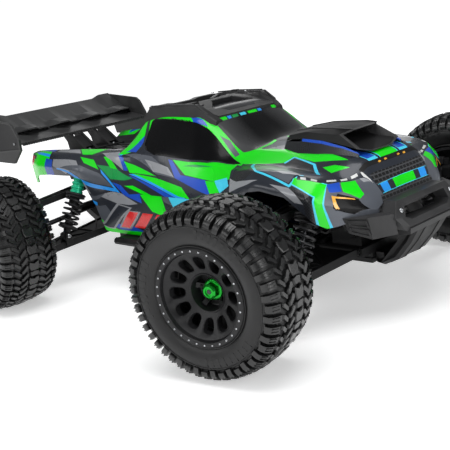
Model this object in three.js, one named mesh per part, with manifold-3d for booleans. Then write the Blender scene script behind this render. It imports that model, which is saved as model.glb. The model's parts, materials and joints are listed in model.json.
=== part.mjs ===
// A 1/6-scale radio-controlled race truck: chassis, four-wheel independent suspension, steering,
// shaft drive and a clip-on body shell with a rear wing. Millimetres, +X forward, +Y left, +Z up.
// The origin lies on the ground under the middle of the overall length.
import * as THREE from "three";
import Module from "manifold-3d";
import { mergeVertices } from "three/addons/utils/BufferGeometryUtils.js";

const wasm = await Module();
wasm.setup();

// ---- Driving dimensions -------------------------------------------------------------------
const MID_X = 49.1; // the wheelbase's middle, ahead of the origin
const WHEELBASE = 430;
const TRACK_OUTER = 545; // over the tyres
const TYRE_R = 89;
const TYRE_W = 80;
const TYRE_SIDES = 24; // the tread is a prism that stands on one of its flats
const AXLE_Z = TYRE_R * Math.cos(Math.PI / TYRE_SIDES);
const WHEEL_Y = TRACK_OUTER / 2 - TYRE_W / 2;
const TYRE_WALL = 4; // the carcass is hollow
const RIM_R = 48;

const LINK_DY = 148; // every link of a corner spans this much sideways
const LINK_DZ = 12; // and rises this much towards the chassis
const PIN_Y = 190; // outer suspension pins
const PIN_LOW_Z = 56;
const PIN_UP_Z = 120;
const KING_Y = 206; // steering axis and outer drive joint
const TIE_X = -30; // steering arm, behind the axle
const TIE_Z = 84;
const PIN_R = 2;
const BORE_R = 2.6;
const BARREL_R = 4.6;
const FIT = 0.5; // running gap between neighbours
const STEER = 13; // degrees to the left that the front wheels stand at
const STEER_SHIFT = TIE_X * Math.sin((STEER * Math.PI) / 180); // of the linkage, sideways

const FRONT_X = WHEELBASE / 2;
const REAR_X = -WHEELBASE / 2;
const FLOOR_Z = 52;
const FLOOR_T = 5;
const SHAFT_Z = 86; // centre driveshaft and gears
const SPUR_TEETH = 36;
const PINION_TEETH = 12;
const GEAR_MODULE = 4 / 3;
const GEAR_X = -86;

const SHOCKS = {
  front: { x: FRONT_X + 17, top: [93, 152], foot: [131, 74] },
  rear: { x: REAR_X + 17, top: [96, 152], foot: [139, 73] },
};

// ---- Materials ----------------------------------------------------------------------------
const finish = (color, roughness, metalness) =>
  new THREE.MeshStandardMaterial({ color, roughness, metalness });
const PAINT = finish(0x18d62a, 0.25, 0);
const PLASTIC = finish(0x1b1b1c, 0.6, 0);
const RUBBER = finish(0x171717, 0.85, 0);
const STEEL = finish(0x8d9096, 0.35, 0.9);
const ANODISED = finish(0x0fae4c, 0.3, 0.8);
const BATTERY = finish(0x2b4a86, 0.5, 0);

// ---- Solids -------------------------------------------------------------------------------
const AXIS_Y = new THREE.Euler(0, 0, 0);
const AXIS_X = new THREE.Euler(0, 0, Math.PI / 2);
const AXIS_Z = new THREE.Euler(Math.PI / 2, 0, 0);

function solid(geometry) {
  const bare = geometry.clone();
  bare.deleteAttribute("normal");
  bare.deleteAttribute("uv");
  const merged = mergeVertices(bare, 1e-3);
  return new wasm.Manifold(
    new wasm.Mesh({
      numProp: 3,
      vertProperties: merged.attributes.position.array,
      triVerts: new Uint32Array(merged.index.array),
    }),
  );
}

const join = (...parts) => parts.reduce((a, b) => a.add(b));
const cut = (body, ...tools) => tools.reduce((a, b) => a.subtract(b), body);

// A box from its lowest to its highest corner.
function block([x0, y0, z0], [x1, y1, z1]) {
  const g = new THREE.BoxGeometry(x1 - x0, y1 - y0, z1 - z0);
  return solid(g.translate((x0 + x1) / 2, (y0 + y1) / 2, (z0 + z1) / 2));
}

// A cylinder centred on a point, along one axis.
function rod(radius, length, [x, y, z], turn = AXIS_Y, sides = 8) {
  const g = new THREE.CylinderGeometry(radius, radius, length, sides);
  g.applyMatrix4(new THREE.Matrix4().makeRotationFromEuler(turn));
  return solid(g.translate(x, y, z));
}

// A cylinder or cone between two points.
function strut(from, to, r0, r1 = r0, sides = 8) {
  const a = new THREE.Vector3(...from);
  const b = new THREE.Vector3(...to);
  const g = new THREE.CylinderGeometry(r1, r0, a.distanceTo(b), sides);
  const along = b.clone().sub(a).normalize();
  const turn = new THREE.Quaternion().setFromUnitVectors(new THREE.Vector3(0, 1, 0), along);
  g.applyQuaternion(turn);
  const middle = a.add(b).multiplyScalar(0.5);
  return solid(g.translate(middle.x, middle.y, middle.z));
}

function ball(radius, [x, y, z]) {
  return solid(new THREE.IcosahedronGeometry(radius, 1).translate(x, y, z));
}

// A flat outline of [u, v] points, extruded. plane "xz" extrudes along y, "xy" along z.
function plate(outline, from, to, plane = "xz") {
  const shape = new THREE.Shape(outline.map(([u, v]) => new THREE.Vector2(u, v)));
  const g = new THREE.ExtrudeGeometry(shape, { depth: to - from, bevelEnabled: false });
  if (plane === "xz") {
    g.rotateX(Math.PI / 2);
    g.translate(0, to, 0);
  } else if (plane === "xy") {
    g.translate(0, 0, from);
  }
  return solid(g);
}

// A solid of revolution about an axle along y. The profile is [distance along the axle, radius].
function turned(profile, sides, [x, y, z], side = 1) {
  const points = profile.map(([along, r]) => new THREE.Vector2(r, along * side));
  if (side < 0) points.reverse();
  const g = new THREE.LatheGeometry(points, sides);
  g.rotateY(Math.PI / sides);
  return solid(g.translate(x, y, z));
}

// A skin through sections that all have the same number of [x, y, z] points, closed at both ends.
function loft(sections) {
  const count = sections[0].length;
  const points = sections.flat(2);
  const index = [];
  for (let s = 0; s + 1 < sections.length; s++) {
    for (let i = 0; i < count; i++) {
      const a = s * count + i;
      const b = s * count + ((i + 1) % count);
      index.push(a, b, a + count, b, b + count, a + count);
    }
  }
  for (const [first, back] of [[0, true], [(sections.length - 1) * count, false]]) {
    const ring = sections[first / count].map(([, y, z]) => new THREE.Vector2(y, z));
    const turned = THREE.ShapeUtils.isClockWise(ring);
    for (const [a, b, c] of THREE.ShapeUtils.triangulateShape(ring, [])) {
      if (back !== turned) index.push(first + a, first + c, first + b);
      else index.push(first + a, first + b, first + c);
    }
  }
  const g = new THREE.BufferGeometry();
  g.setAttribute("position", new THREE.Float32BufferAttribute(points, 3));
  g.setIndex(index);
  const made = solid(g);
  if (made.volume() > 0) return made;
  for (let i = 0; i < index.length; i += 3) {
    [index[i + 1], index[i + 2]] = [index[i + 2], index[i + 1]];
  }
  g.setIndex(index);
  return solid(g);
}

// ---- The scene graph ----------------------------------------------------------------------
const truck = new THREE.Group();
const frame = new THREE.Group();
frame.position.x = MID_X;
truck.add(frame);

function piece(name, manifold, material) {
  const mesh = manifold.getMesh();
  const g = new THREE.BufferGeometry();
  g.setAttribute("position", new THREE.BufferAttribute(mesh.vertProperties, 3));
  g.setIndex(new THREE.BufferAttribute(mesh.triVerts, 1));
  const made = new THREE.Mesh(g, material);
  made.name = name;
  frame.add(made);
  return made;
}

// ---- Chassis ------------------------------------------------------------------------------
const TUB = { x: 165, y: 70, wall: 4, wallTop: 88, noseX: 252, noseY: 30 };
const SILL = { x: 120, y: 108, z0: 60, z1: 68 };

function chassisTub() {
  const top = FLOOR_Z + FLOOR_T;
  const floor = block([-TUB.x, -TUB.y, FLOOR_Z], [TUB.x, TUB.y, top]);
  const spine = block([-TUB.noseX, -TUB.noseY, FLOOR_Z], [TUB.noseX, TUB.noseY, top]);
  const walls = [-1, 1].map((side) => {
    const [y0, y1] = [side * TUB.y, side * (TUB.y - TUB.wall)].sort((a, b) => a - b);
    return block([-TUB.x, y0, top - 1], [TUB.x, y1, TUB.wallTop]);
  });
  const sills = [-1, 1].map((side) => {
    const rail = strut([-SILL.x, side * SILL.y, 64], [SILL.x, side * SILL.y, 64], 5);
    const [y0, y1] = [side * (TUB.y - 1), side * SILL.y].sort((a, b) => a - b);
    return join(rail, block([-SILL.x, y0, SILL.z0], [SILL.x, y1, SILL.z1]));
  });
  const ends = [-1, 1].map((end) => {
    const [x0, x1] = [end * TUB.x, end * (TUB.x - TUB.wall)].sort((a, b) => a - b);
    return block([x0, -TUB.y, top - 1], [x1, TUB.y, 70]);
  });
  return join(floor, spine, ...walls, ...sills, ...ends);
}
piece("chassis_tub", chassisTub(), PLASTIC);

// A gearbox and its hinge-pin carriers and shock tower. endways is +1 at the front, -1 at the back.
function bulkhead(axleX, endways, shock) {
  const z0 = FLOOR_Z + FLOOR_T + 0.3;
  const pinY = PIN_Y - LINK_DY;
  const lowZ = PIN_LOW_Z + LINK_DZ;
  const upZ = PIN_UP_Z + LINK_DZ;
  const boxZ = AXLE_Z + LINK_DZ;
  const parts = [
    block([axleX - 36, -28, z0], [axleX + 36, 28, 68]),
    block([axleX - 21, -26, z0], [axleX + 21, 26, upZ]),
    rod(25, 60, [axleX, 0, boxZ], AXIS_Y, 16),
    block([axleX - 36, -26, upZ - 6], [axleX + 36, 26, upZ + 5]),
    strut([axleX, 0, SHAFT_Z], [axleX - 34 * endways, 0, SHAFT_Z], 11, 8),
  ];
  for (const x of [axleX - 34, axleX + 34]) {
    parts.push(block([x - 2, -pinY - 3.5, lowZ - 5], [x + 2, pinY + 3.5, lowZ + 4.5]));
    parts.push(block([x - 2, -pinY - 3.5, upZ - 4.5], [x + 2, pinY + 3.5, upZ + 4.5]));
  }
  const [topY, topZ] = shock.top;
  const towerX = shock.x - 17;
  for (const side of [-1, 1]) {
    parts.push(rod(PIN_R, 70, [axleX, side * pinY, lowZ], AXIS_X));
    parts.push(rod(PIN_R, 70, [axleX, side * pinY, upZ], AXIS_X));
    parts.push(rod(9, 34, [axleX, side * (KING_Y - LINK_DY - 13), boxZ], AXIS_Y, 12));
    parts.push(strut([towerX, side * 8, upZ + 8], [towerX, side * topY, topZ], 4.5));
    parts.push(rod(PIN_R, 28, [shock.x - 5, side * topY, topZ], AXIS_X));
  }
  let made = join(...parts);
  for (const side of [-1, 1]) {
    made = cut(made, rod(7, 20, [axleX, side * (KING_Y - LINK_DY + 3), boxZ], AXIS_Y, 12));
  }
  return cut(made, rod(4.2, 30, [axleX - 36 * endways, 0, SHAFT_Z], AXIS_X));
}
piece("front_bulkhead", bulkhead(FRONT_X, 1, SHOCKS.front), PLASTIC);
piece("rear_bulkhead", bulkhead(REAR_X, -1, SHOCKS.rear), PLASTIC);

// ---- Suspension ---------------------------------------------------------------------------
// The end barrels of an arm, bored for their hinge pins, joined by a web.
function arm(axleX, side, z, inner, outer, thickness) {
  const yIn = side * (PIN_Y - LINK_DY);
  const yOut = side * PIN_Y;
  const inMid = axleX + (inner[0] + inner[1]) / 2;
  const outMid = axleX + (outer[0] + outer[1]) / 2;
  const web = [
    [axleX + inner[0], side * 43],
    [axleX + inner[1], side * 43],
    [axleX + outer[1] - 2, side * 189],
    [axleX + outer[0] + 2, side * 189],
  ];
  if (side > 0) web.reverse();
  const flat = plate(web, -thickness / 2, thickness / 2, "xy");
  const slope = (side * -LINK_DZ) / LINK_DY;
  const sheared = flat.transform([
    1, 0, 0, 0, 0, 1, slope, 0, 0, 0, 1, 0, 0, 0, z - slope * yOut, 1,
  ]);
  const body = join(
    sheared,
    rod(BARREL_R, inner[1] - inner[0], [inMid, yIn, z + LINK_DZ], AXIS_X),
    rod(BARREL_R, outer[1] - outer[0], [outMid, yOut, z], AXIS_X),
  );
  return cut(
    body,
    rod(BORE_R, 90, [axleX, yIn, z + LINK_DZ], AXIS_X),
    rod(BORE_R, 60, [axleX, yOut, z], AXIS_X),
  );
}

// The lower arm also carries two ears and the screw under the shock's foot.
function lowerArm(axleX, side, shock) {
  const [footY, footZ] = shock.foot;
  const plain = arm(axleX, side, PIN_LOW_Z, [-31, 31], [-13, 13], 7);
  const ears = [-9, 6].map((dx) =>
    block([shock.x + dx, side * footY - 5, footZ - 13], [shock.x + dx + 3, side * footY + 5, footZ + 3]),
  );
  const screw = rod(1.5, 20, [shock.x, side * footY, footZ], AXIS_X, 8);
  return join(plain, ...ears, screw);
}

// Ears and pin at one end of a carrier, around an arm's outer barrel.
function carrierHinge(axleX, side, z, ears, rise) {
  const y = side * PIN_Y;
  const parts = ears.map(([x0, x1]) =>
    block([axleX + x0, y - 4, Math.min(z - 3, rise)], [axleX + x1, y + 4, Math.max(z + 3, rise)]),
  );
  const mid = axleX + (ears[0][0] + ears[1][1]) / 2;
  parts.push(rod(PIN_R, ears[1][1] - ears[0][0], [mid, y, z], AXIS_X));
  return join(...parts);
}
const LOW_EARS = [[-17, -13.5], [13.5, 17]];
const UP_EARS = [[-20, -16.4], [0.8, 5]];
const YOKE_Z = [66, 111];

function shell(axleX, side, z0, z1, yIn, yOut, half) {
  const [a, b] = [side * yIn, side * yOut].sort((p, q) => p - q);
  return block([axleX - half, a, z0], [axleX + half, b, z1]);
}

// The front yoke holds the steering block between two kingpins.
function casterBlock(side) {
  const [z0, z1] = YOKE_Z;
  const parts = [
    shell(FRONT_X, side, z0 - 4, z0, 183, 212, 17),
    shell(FRONT_X, side, z1, z1 + 3, 183, 212, 17),
    block([FRONT_X - 20, side * PIN_Y - 4, z1], [FRONT_X - 16.4, side * PIN_Y + 4, z1 + 3]),
    rod(2.2, 8, [FRONT_X, side * KING_Y, z0 + 2], AXIS_Z),
    rod(2.2, 8, [FRONT_X, side * KING_Y, z1 - 2], AXIS_Z),
    carrierHinge(FRONT_X, side, PIN_LOW_Z, LOW_EARS, z0 - 2),
    carrierHinge(FRONT_X, side, PIN_UP_Z, UP_EARS, z1 + 1),
  ];
  for (const x of [-17, 12]) {
    const [a, b] = [side * 183, side * 189].sort((p, q) => p - q);
    parts.push(block([FRONT_X + x, a, z0 - 2], [FRONT_X + x + 5, b, z1 + 1]));
  }
  return join(...parts);
}

// Turns a piece about its corner's steering axis to where the wheels stand.
function steered(body, side) {
  const back = [-FRONT_X, -side * KING_Y, 0];
  const forth = [FRONT_X, side * KING_Y, 0];
  return body.translate(back).rotate([0, 0, STEER]).translate(forth);
}

function steeringBlock(side) {
  const [z0, z1] = YOKE_Z;
  const tipY = side * KING_Y;
  const body = join(
    shell(FRONT_X, side, z0 + FIT, z1 - FIT, 199, 222, 12.5),
    block([FRONT_X + TIE_X - 4, tipY - 4, TIE_Z - 6], [FRONT_X, tipY + 4, TIE_Z - 2]),
    rod(1.6, 12, [FRONT_X + TIE_X, tipY, TIE_Z], AXIS_Z),
  );
  const bored = cut(
    body,
    rod(CUP.r + 0.8, 60, [FRONT_X, side * 210, AXLE_Z], AXIS_Y, 12),
    rod(3, 6.4 * 2, [FRONT_X, tipY, z0], AXIS_Z),
    rod(3, 6.4 * 2, [FRONT_X, tipY, z1], AXIS_Z),
  );
  return steered(bored, side);
}

function rearCarrier(side) {
  const [z0, z1] = YOKE_Z;
  const body = join(
    shell(REAR_X, side, z0, z1, 198, 222, 13),
    shell(REAR_X, side, z0 - 4, z0 + 1, 184, 212, 17),
    shell(REAR_X, side, z1 - 1, z1 + 3, 184, 212, 17),
    block([REAR_X - 20, side * PIN_Y - 4, z1], [REAR_X - 16.4, side * PIN_Y + 4, z1 + 3]),
    carrierHinge(REAR_X, side, PIN_LOW_Z, LOW_EARS, z0 - 2),
    carrierHinge(REAR_X, side, PIN_UP_Z, UP_EARS, z1 + 1),
  );
  return cut(body, rod(CUP.r + 0.8, 60, [REAR_X, side * 210, AXLE_Z], AXIS_Y, 12));
}

function driveshaft(axleX, side) {
  const inner = [axleX, side * (KING_Y - LINK_DY), AXLE_Z + LINK_DZ];
  const outer = [axleX, side * KING_Y, AXLE_Z];
  const at = (t) => inner.map((v, i) => v + (outer[i] - v) * t);
  return join(
    ball(5, inner),
    ball(5, outer),
    strut(inner, at(0.1), 2.4),
    strut(at(0.09), at(0.91), 3.6),
    strut(at(0.9), outer, 2.4),
  );
}

// ---- Shock absorbers ----------------------------------------------------------------------
const SHOCK = { eyeR: 6.5, capR: 8.8, bodyR: 7.6, shaftR: 1.8, springR: [10.4, 12.6] };

function shockAxis(shock, side) {
  const top = [shock.x, side * shock.top[0], shock.top[1]];
  const foot = [shock.x, side * shock.foot[0], shock.foot[1]];
  return (t) => top.map((v, i) => v + (foot[i] - v) * t);
}

function shockBody(shock, side) {
  const at = shockAxis(shock, side);
  const made = join(
    rod(SHOCK.eyeR, 6, at(0), AXIS_X),
    strut(at(0.03), at(0.16), SHOCK.capR, SHOCK.capR, 12),
    strut(at(0.14), at(0.53), SHOCK.bodyR, SHOCK.bodyR, 12),
  );
  const bore = strut(at(0.05), at(0.6), SHOCK.shaftR + 0.5);
  return cut(made, bore, rod(BORE_R, 20, at(0), AXIS_X));
}

function shockShaft(shock, side) {
  const at = shockAxis(shock, side);
  const made = join(
    strut(at(0.355), at(0.95), SHOCK.shaftR),
    strut(at(0.845), at(0.885), SHOCK.springR[1] + 1, SHOCK.springR[1] + 1, 12),
    rod(SHOCK.eyeR, 6, at(1), AXIS_X),
    strut(at(0.87), at(0.97), 4),
  );
  return cut(made, rod(4.6, 20, at(1), AXIS_X));
}

function spring(shock, side) {
  const at = shockAxis(shock, side);
  const [inner, outer] = SHOCK.springR;
  return cut(
    strut(at(0.18), at(0.835), outer, outer, 12),
    strut(at(0.1), at(0.9), inner, inner, 12),
  );
}

// ---- Wheels -------------------------------------------------------------------------------
const CUP = { r: 9, bore: 7, from: 201, to: 212 };
const DISC_Y = 255;
const RIM_SIDES = 16;

function tyre(axleX, side) {
  const half = TYRE_W / 2;
  const profile = [
    [-half * 0.78, RIM_R + 0.8],
    [-half, RIM_R + 14],
    [-half, TYRE_R - 13],
    [-half * 0.76, TYRE_R - 2],
    [-half * 0.4, TYRE_R],
    [half * 0.4, TYRE_R],
    [half * 0.76, TYRE_R - 2],
    [half, TYRE_R - 13],
    [half, RIM_R + 14],
    [half * 0.78, RIM_R + 0.8],
    [half * 0.5, RIM_R + 0.8],
    [half - TYRE_WALL, RIM_R + 14],
    [half - TYRE_WALL, TYRE_R - 14],
    [half * 0.6, TYRE_R - TYRE_WALL - 4],
    [-half * 0.6, TYRE_R - TYRE_WALL - 4],
    [-half + TYRE_WALL, TYRE_R - 14],
    [-half + TYRE_WALL, RIM_R + 14],
    [-half * 0.5, RIM_R + 0.8],
    [-half * 0.78, RIM_R + 0.8],
  ];
  return turned(profile, TYRE_SIDES, [axleX, side * WHEEL_Y, AXLE_Z], 1);
}

// Rim, hub, nut and stub axle, which turn as one. The axle ends in the drive joint's cup.
function rim(axleX, side) {
  const inner = WHEEL_Y - TYRE_W * 0.46;
  const outer = WHEEL_Y + TYRE_W * 0.46;
  const barrel = RIM_R - 4;
  const profile = [
    [inner, barrel],
    [inner, RIM_R],
    [outer, RIM_R],
    [outer, barrel],
    [DISC_Y + 3, RIM_R - 6],
    [DISC_Y + 3, 22],
    [DISC_Y - 1, 7.5],
    [265, 7.5],
    [265, 0],
    [CUP.to, 0],
    [CUP.to, CUP.bore],
    [CUP.from, CUP.bore],
    [CUP.from, CUP.r],
    [230, CUP.r],
    [DISC_Y - 3, 20],
    [DISC_Y - 3, barrel],
    [inner, barrel],
  ];
  const points = profile.map(([y, r]) => [y - DISC_Y, r]);
  return turned(points, RIM_SIDES, [axleX, side * DISC_Y, AXLE_Z], side);
}

// ---- Corners ------------------------------------------------------------------------------
const CORNERS = [
  ["front_right", FRONT_X, -1, SHOCKS.front],
  ["front_left", FRONT_X, 1, SHOCKS.front],
  ["rear_right", REAR_X, -1, SHOCKS.rear],
  ["rear_left", REAR_X, 1, SHOCKS.rear],
];
for (const [corner, axleX, side, shock] of CORNERS) {
  piece(`${corner}_lower_arm`, lowerArm(axleX, side, shock), PLASTIC);
  piece(`${corner}_upper_arm`, arm(axleX, side, PIN_UP_Z, [-30, 0], [-16, 0], 6), PLASTIC);
  if (axleX > 0) {
    piece(`${corner}_caster_block`, casterBlock(side), PLASTIC);
    piece(`${corner}_steering_block`, steeringBlock(side), PLASTIC);
  } else {
    piece(`${corner}_axle_carrier`, rearCarrier(side), PLASTIC);
  }
  piece(`${corner}_driveshaft`, driveshaft(axleX, side), STEEL);
  piece(`${corner}_shock_body`, shockBody(shock, side), ANODISED);
  piece(`${corner}_shock_shaft`, shockShaft(shock, side), STEEL);
  piece(`${corner}_spring`, spring(shock, side), PLASTIC);
  const stand = (body) => (axleX > 0 ? steered(body, side) : body);
  piece(`${corner}_tyre`, stand(tyre(axleX, side)), RUBBER);
  piece(`${corner}_rim`, stand(rim(axleX, side)), PLASTIC);
}

// ---- Steering -----------------------------------------------------------------------------
const TIE = { x: FRONT_X + TIE_X, inY: KING_Y - LINK_DY, inZ: TIE_Z + LINK_DZ };
const HORN = { x: 140, y: 28, z: 103 };

function tieRod(side) {
  const inner = [TIE.x, side * TIE.inY, TIE.inZ];
  const outer = [TIE.x, side * KING_Y, TIE_Z + 2];
  const at = (t) => inner.map((v, i) => v + (outer[i] - v) * t);
  const made = join(
    rod(4.6, 6, inner, AXIS_X),
    strut(at(0.02), at(0.96), 2.6),
    rod(8, 5, outer, AXIS_Z, 10),
  );
  const bored = cut(made, rod(BORE_R, 20, inner, AXIS_X), rod(5.4, 12, outer, AXIS_Z));
  return bored.translate([0, STEER_SHIFT, 0]);
}

function dragLink() {
  const { x, inY, inZ } = TIE;
  const parts = [block([x - 8, -inY, inZ - 3], [x - 4.5, inY, inZ + 3])];
  for (const side of [-1, 1]) {
    parts.push(rod(3.5, 3.5, [x - 6.25, side * inY, inZ], AXIS_X));
    parts.push(rod(PIN_R, 12, [x - 1, side * inY, inZ], AXIS_X));
  }
  const tip = HORN.z + 3;
  parts.push(rod(1.5, tip - inZ, [x - 6.25, HORN.y, (inZ + tip) / 2], AXIS_Z));
  return join(...parts).translate([0, STEER_SHIFT, 0]);
}

function servoHorn() {
  const tipX = TIE.x - 6.25;
  const made = join(
    rod(6, 4, [HORN.x, HORN.y, HORN.z], AXIS_Z),
    block([HORN.x, HORN.y - 4, HORN.z - 2], [tipX, HORN.y + 4, HORN.z + 2]),
    rod(6.4, 4, [tipX, HORN.y, HORN.z], AXIS_Z, 10),
  );
  const bored = cut(
    made,
    rod(4.8, 10, [tipX, HORN.y, HORN.z], AXIS_Z),
    rod(2.6, 10, [HORN.x, HORN.y, HORN.z], AXIS_Z),
  );
  const angle = (Math.asin(STEER_SHIFT / (tipX - HORN.x)) * 180) / Math.PI;
  const [back, forth] = [-1, 1].map((s) => [s * HORN.x, s * HORN.y, 0]);
  return bored.translate(back).rotate([0, 0, angle]).translate(forth);
}

function steeringServo() {
  return join(
    block([108, 14, 57.5], [155, 62, 90]),
    rod(7, 10, [HORN.x, HORN.y, 94], AXIS_Z, 10),
    rod(2, 14, [HORN.x, HORN.y, HORN.z - 4], AXIS_Z),
  );
}
piece("right_tie_rod", tieRod(-1), STEEL);
piece("left_tie_rod", tieRod(1), STEEL);
piece("drag_link", dragLink(), PLASTIC);
piece("servo_horn", servoHorn(), PLASTIC);
piece("steering_servo", steeringServo(), PLASTIC);

// ---- Drive --------------------------------------------------------------------------------
// A spur gear whose teeth are trapezoids thin enough to run with backlash. phase is in teeth.
function gear(teeth, width, [x, y, z], phase) {
  const pitchR = (teeth * GEAR_MODULE) / 2;
  const [rootR, tipR] = [pitchR - 1.5, pitchR + 1.05];
  const outline = [];
  for (let i = 0; i < teeth; i++) {
    for (const [share, r] of [[-0.24, rootR], [-0.1, tipR], [0.1, tipR], [0.24, rootR]]) {
      const a = ((i + phase + share) / teeth) * 2 * Math.PI;
      outline.push([r * Math.cos(a), r * Math.sin(a)]);
    }
  }
  const flat = new THREE.Shape(outline.map(([u, v]) => new THREE.Vector2(u, v)));
  const g = new THREE.ExtrudeGeometry(flat, { depth: width, bevelEnabled: false });
  g.rotateY(Math.PI / 2);
  return solid(g.translate(x, y, z));
}
const MOTOR_Y = (-(SPUR_TEETH + PINION_TEETH) * GEAR_MODULE) / 2;

// The gears mesh across y: a tooth of the pinion stands in a gap of the spur gear.
function spurGear() {
  const end = FRONT_X - 50;
  return join(
    gear(SPUR_TEETH, 7, [GEAR_X, 0, SHAFT_Z], 0.5),
    rod(3.2, 2 * end + 30, [0, 0, SHAFT_Z], AXIS_X),
  );
}

function pinionGear() {
  return cut(
    gear(PINION_TEETH, 8, [GEAR_X - 0.5, MOTOR_Y, SHAFT_Z], 0),
    rod(BORE_R, 30, [GEAR_X, MOTOR_Y, SHAFT_Z], AXIS_X),
  );
}

function motor() {
  const z = SHAFT_Z;
  return join(
    rod(20, 60, [GEAR_X - 36, MOTOR_Y - 2, z], AXIS_X, 16),
    rod(PIN_R, 30, [GEAR_X - 4, MOTOR_Y, z], AXIS_X),
  );
}
piece("spur_gear_and_shaft", spurGear(), STEEL);
piece("pinion_gear", pinionGear(), STEEL);
piece("motor", motor(), STEEL);
piece("speed_controller", block([-155, 14, 57.5], [-92, 62, 92]), PLASTIC);
piece("receiver_box", block([102, -62, 57.5], [150, -14, 84]), PLASTIC);
piece("left_battery", block([-70, 12, 57.5], [90, 62, 90]), BATTERY);
piece("right_battery", block([-70, -62, 57.5], [90, -12, 90]), BATTERY);

// ---- Bumpers ------------------------------------------------------------------------------
function frontBumper() {
  const beam = plate([[288, 100], [310, 106], [308, 118], [296, 133], [288, 133]], -52, 52);
  const slot = block([280, -40, 113], [320, 40, 127]);
  const wings = [-1, 1].map((side) => {
    const sweep = [
      [292, side * 40],
      [309, side * 42],
      [304, side * 58],
      [262, side * 108],
      [250, side * 104],
      [284, side * 60],
    ];
    if (side < 0) sweep.reverse();
    return plate(sweep, 98, 113, "xy");
  });
  const skid = plate([[256, 52], [262, 52], [310, 100], [309, 108], [300, 104], [256, 60]], -30, 30);
  const mount = block([253, -24, 56], [260, 24, 66]);
  const stay = block([256, -24, 56], [292, 24, 60]).intersect(
    plate([[250, 50], [262, 50], [300, 92], [300, 104], [250, 62]], -40, 40),
  );
  return join(cut(beam, slot), ...wings, skid, mount, stay);
}

function rearBumper() {
  const body = plate([[-254, 52], [-254, 66], [-300, 86], [-306, 84], [-306, 76], [-262, 52]], -34, 34);
  const bar = plate(
    [[-306, -60], [-298, -60], [-296, 0], [-298, 60], [-306, 60], [-310, 0]], 74, 88, "xy",
  );
  return join(body, bar);
}
piece("front_bumper", frontBumper(), PLASTIC);
piece("rear_bumper", rearBumper(), PLASTIC);

// ---- Body shell ---------------------------------------------------------------------------
// Half sections from the tail to the nose: x, then the centre's height, then [y, z] down the side
// at the top edge, the shoulder, the belt, the widest line and the lower edge.
const SECTIONS = [
  [-325, 166, [58, 168], [80, 182], [92, 180], [98, 165], [95, 134]],
  [-290, 166, [58, 168], [82, 184], [98, 182], [108, 165], [104, 138]],
  [-215, 166, [56, 168], [82, 186], [100, 183], [112, 165], [110, 120]],
  [-150, 166, [56, 168], [82, 187], [100, 182], [110, 150], [94, 70]],
  [-105, 172, [56, 174], [80, 190], [99, 182], [108, 140], [93, 70]],
  [-80, 205, [55, 205], [74, 200], [97, 180], [106, 135], [92, 70]],
  [-60, 227, [55, 226], [70, 221], [95, 182], [106, 135], [92, 70]],
  [-20, 233, [56, 232], [71, 224], [94, 184], [106, 135], [93, 70]],
  [35, 232, [56, 231], [70, 222], [92, 178], [107, 135], [94, 71]],
  [55, 222, [54, 221], [67, 214], [92, 175], [108, 135], [95, 72]],
  [115, 186, [54, 184], [76, 174], [98, 168], [113, 142], [98, 74]],
  [150, 182, [50, 180], [78, 172], [105, 172], [119, 152], [105, 78]],
  [175, 180, [50, 178], [80, 171], [109, 173], [122, 158], [112, 100]],
  [215, 175, [50, 173], [80, 167], [107, 170], [122, 154], [122, 110]],
  [245, 168, [50, 166], [78, 162], [104, 162], [121, 148], [121, 115]],
  [262, 160, [48, 159], [68, 155], [90, 150], [101, 138], [98, 116]],
  [280, 134, [44, 133], [54, 132], [62, 130], [70, 126], [66, 121]],
];
const SKIN = 2.4;
const ARCHES = [
  [[112, 40], [118, 100], [135, 133], [158, 150], [180, 153], [216, 148], [242, 130], [259, 112],
    [259, 40]],
  [[-302, 130], [-262, 146], [-200, 152], [-178, 148], [-165, 110], [-160, 70], [-160, 40],
    [-302, 40]],
];

// grow moves the skin outwards, or inwards where it is negative, and floor sets its lower edge.
function bodyLoft(grow, floor) {
  const rings = SECTIONS.map(([x, centre, ...side]) => {
    const first = x === SECTIONS[0][0];
    const last = x === SECTIONS.at(-1)[0];
    const along = x + (first ? -grow : 0) + (last ? grow : 0);
    const half = side.map(([y, z]) => [y + grow, z + grow * 0.8]);
    if (floor !== null) half.push([half.at(-1)[0], floor]);
    const right = half.map(([y, z]) => [along, -y, z]);
    const left = half.map(([y, z]) => [along, y, z]).reverse();
    return [[along, 0, centre + grow], ...right, ...left];
  });
  return loft(rings);
}

function bodyShell() {
  const outer = bodyLoft(0, null);
  const inner = bodyLoft(-SKIN, 20);
  const arches = ARCHES.map((outline) => plate(outline, -160, 160));
  return cut(outer, inner, ...arches, block([-340, -80, 100], [-310, 80, 160]));
}
piece("body_shell", bodyShell(), PAINT);

function roofSkid() {
  const rails = [-1, 1].map((side) => {
    const [a, b] = [side * 70, side * 54].sort((p, q) => p - q);
    const side_view = [[-79, 212], [-79, 222], [-58, 239], [32, 239], [56, 219], [50, 212]];
    return plate(side_view.reverse(), a, b);
  });
  const bars = [
    block([-68, -56, 224], [-54, 56, 237]),
    block([22, -56, 224], [36, 56, 238]),
    block([-10, -56, 226], [2, 56, 237]),
  ];
  return cut(join(...rails, ...bars), bodyLoft(0.4, 20));
}

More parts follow.
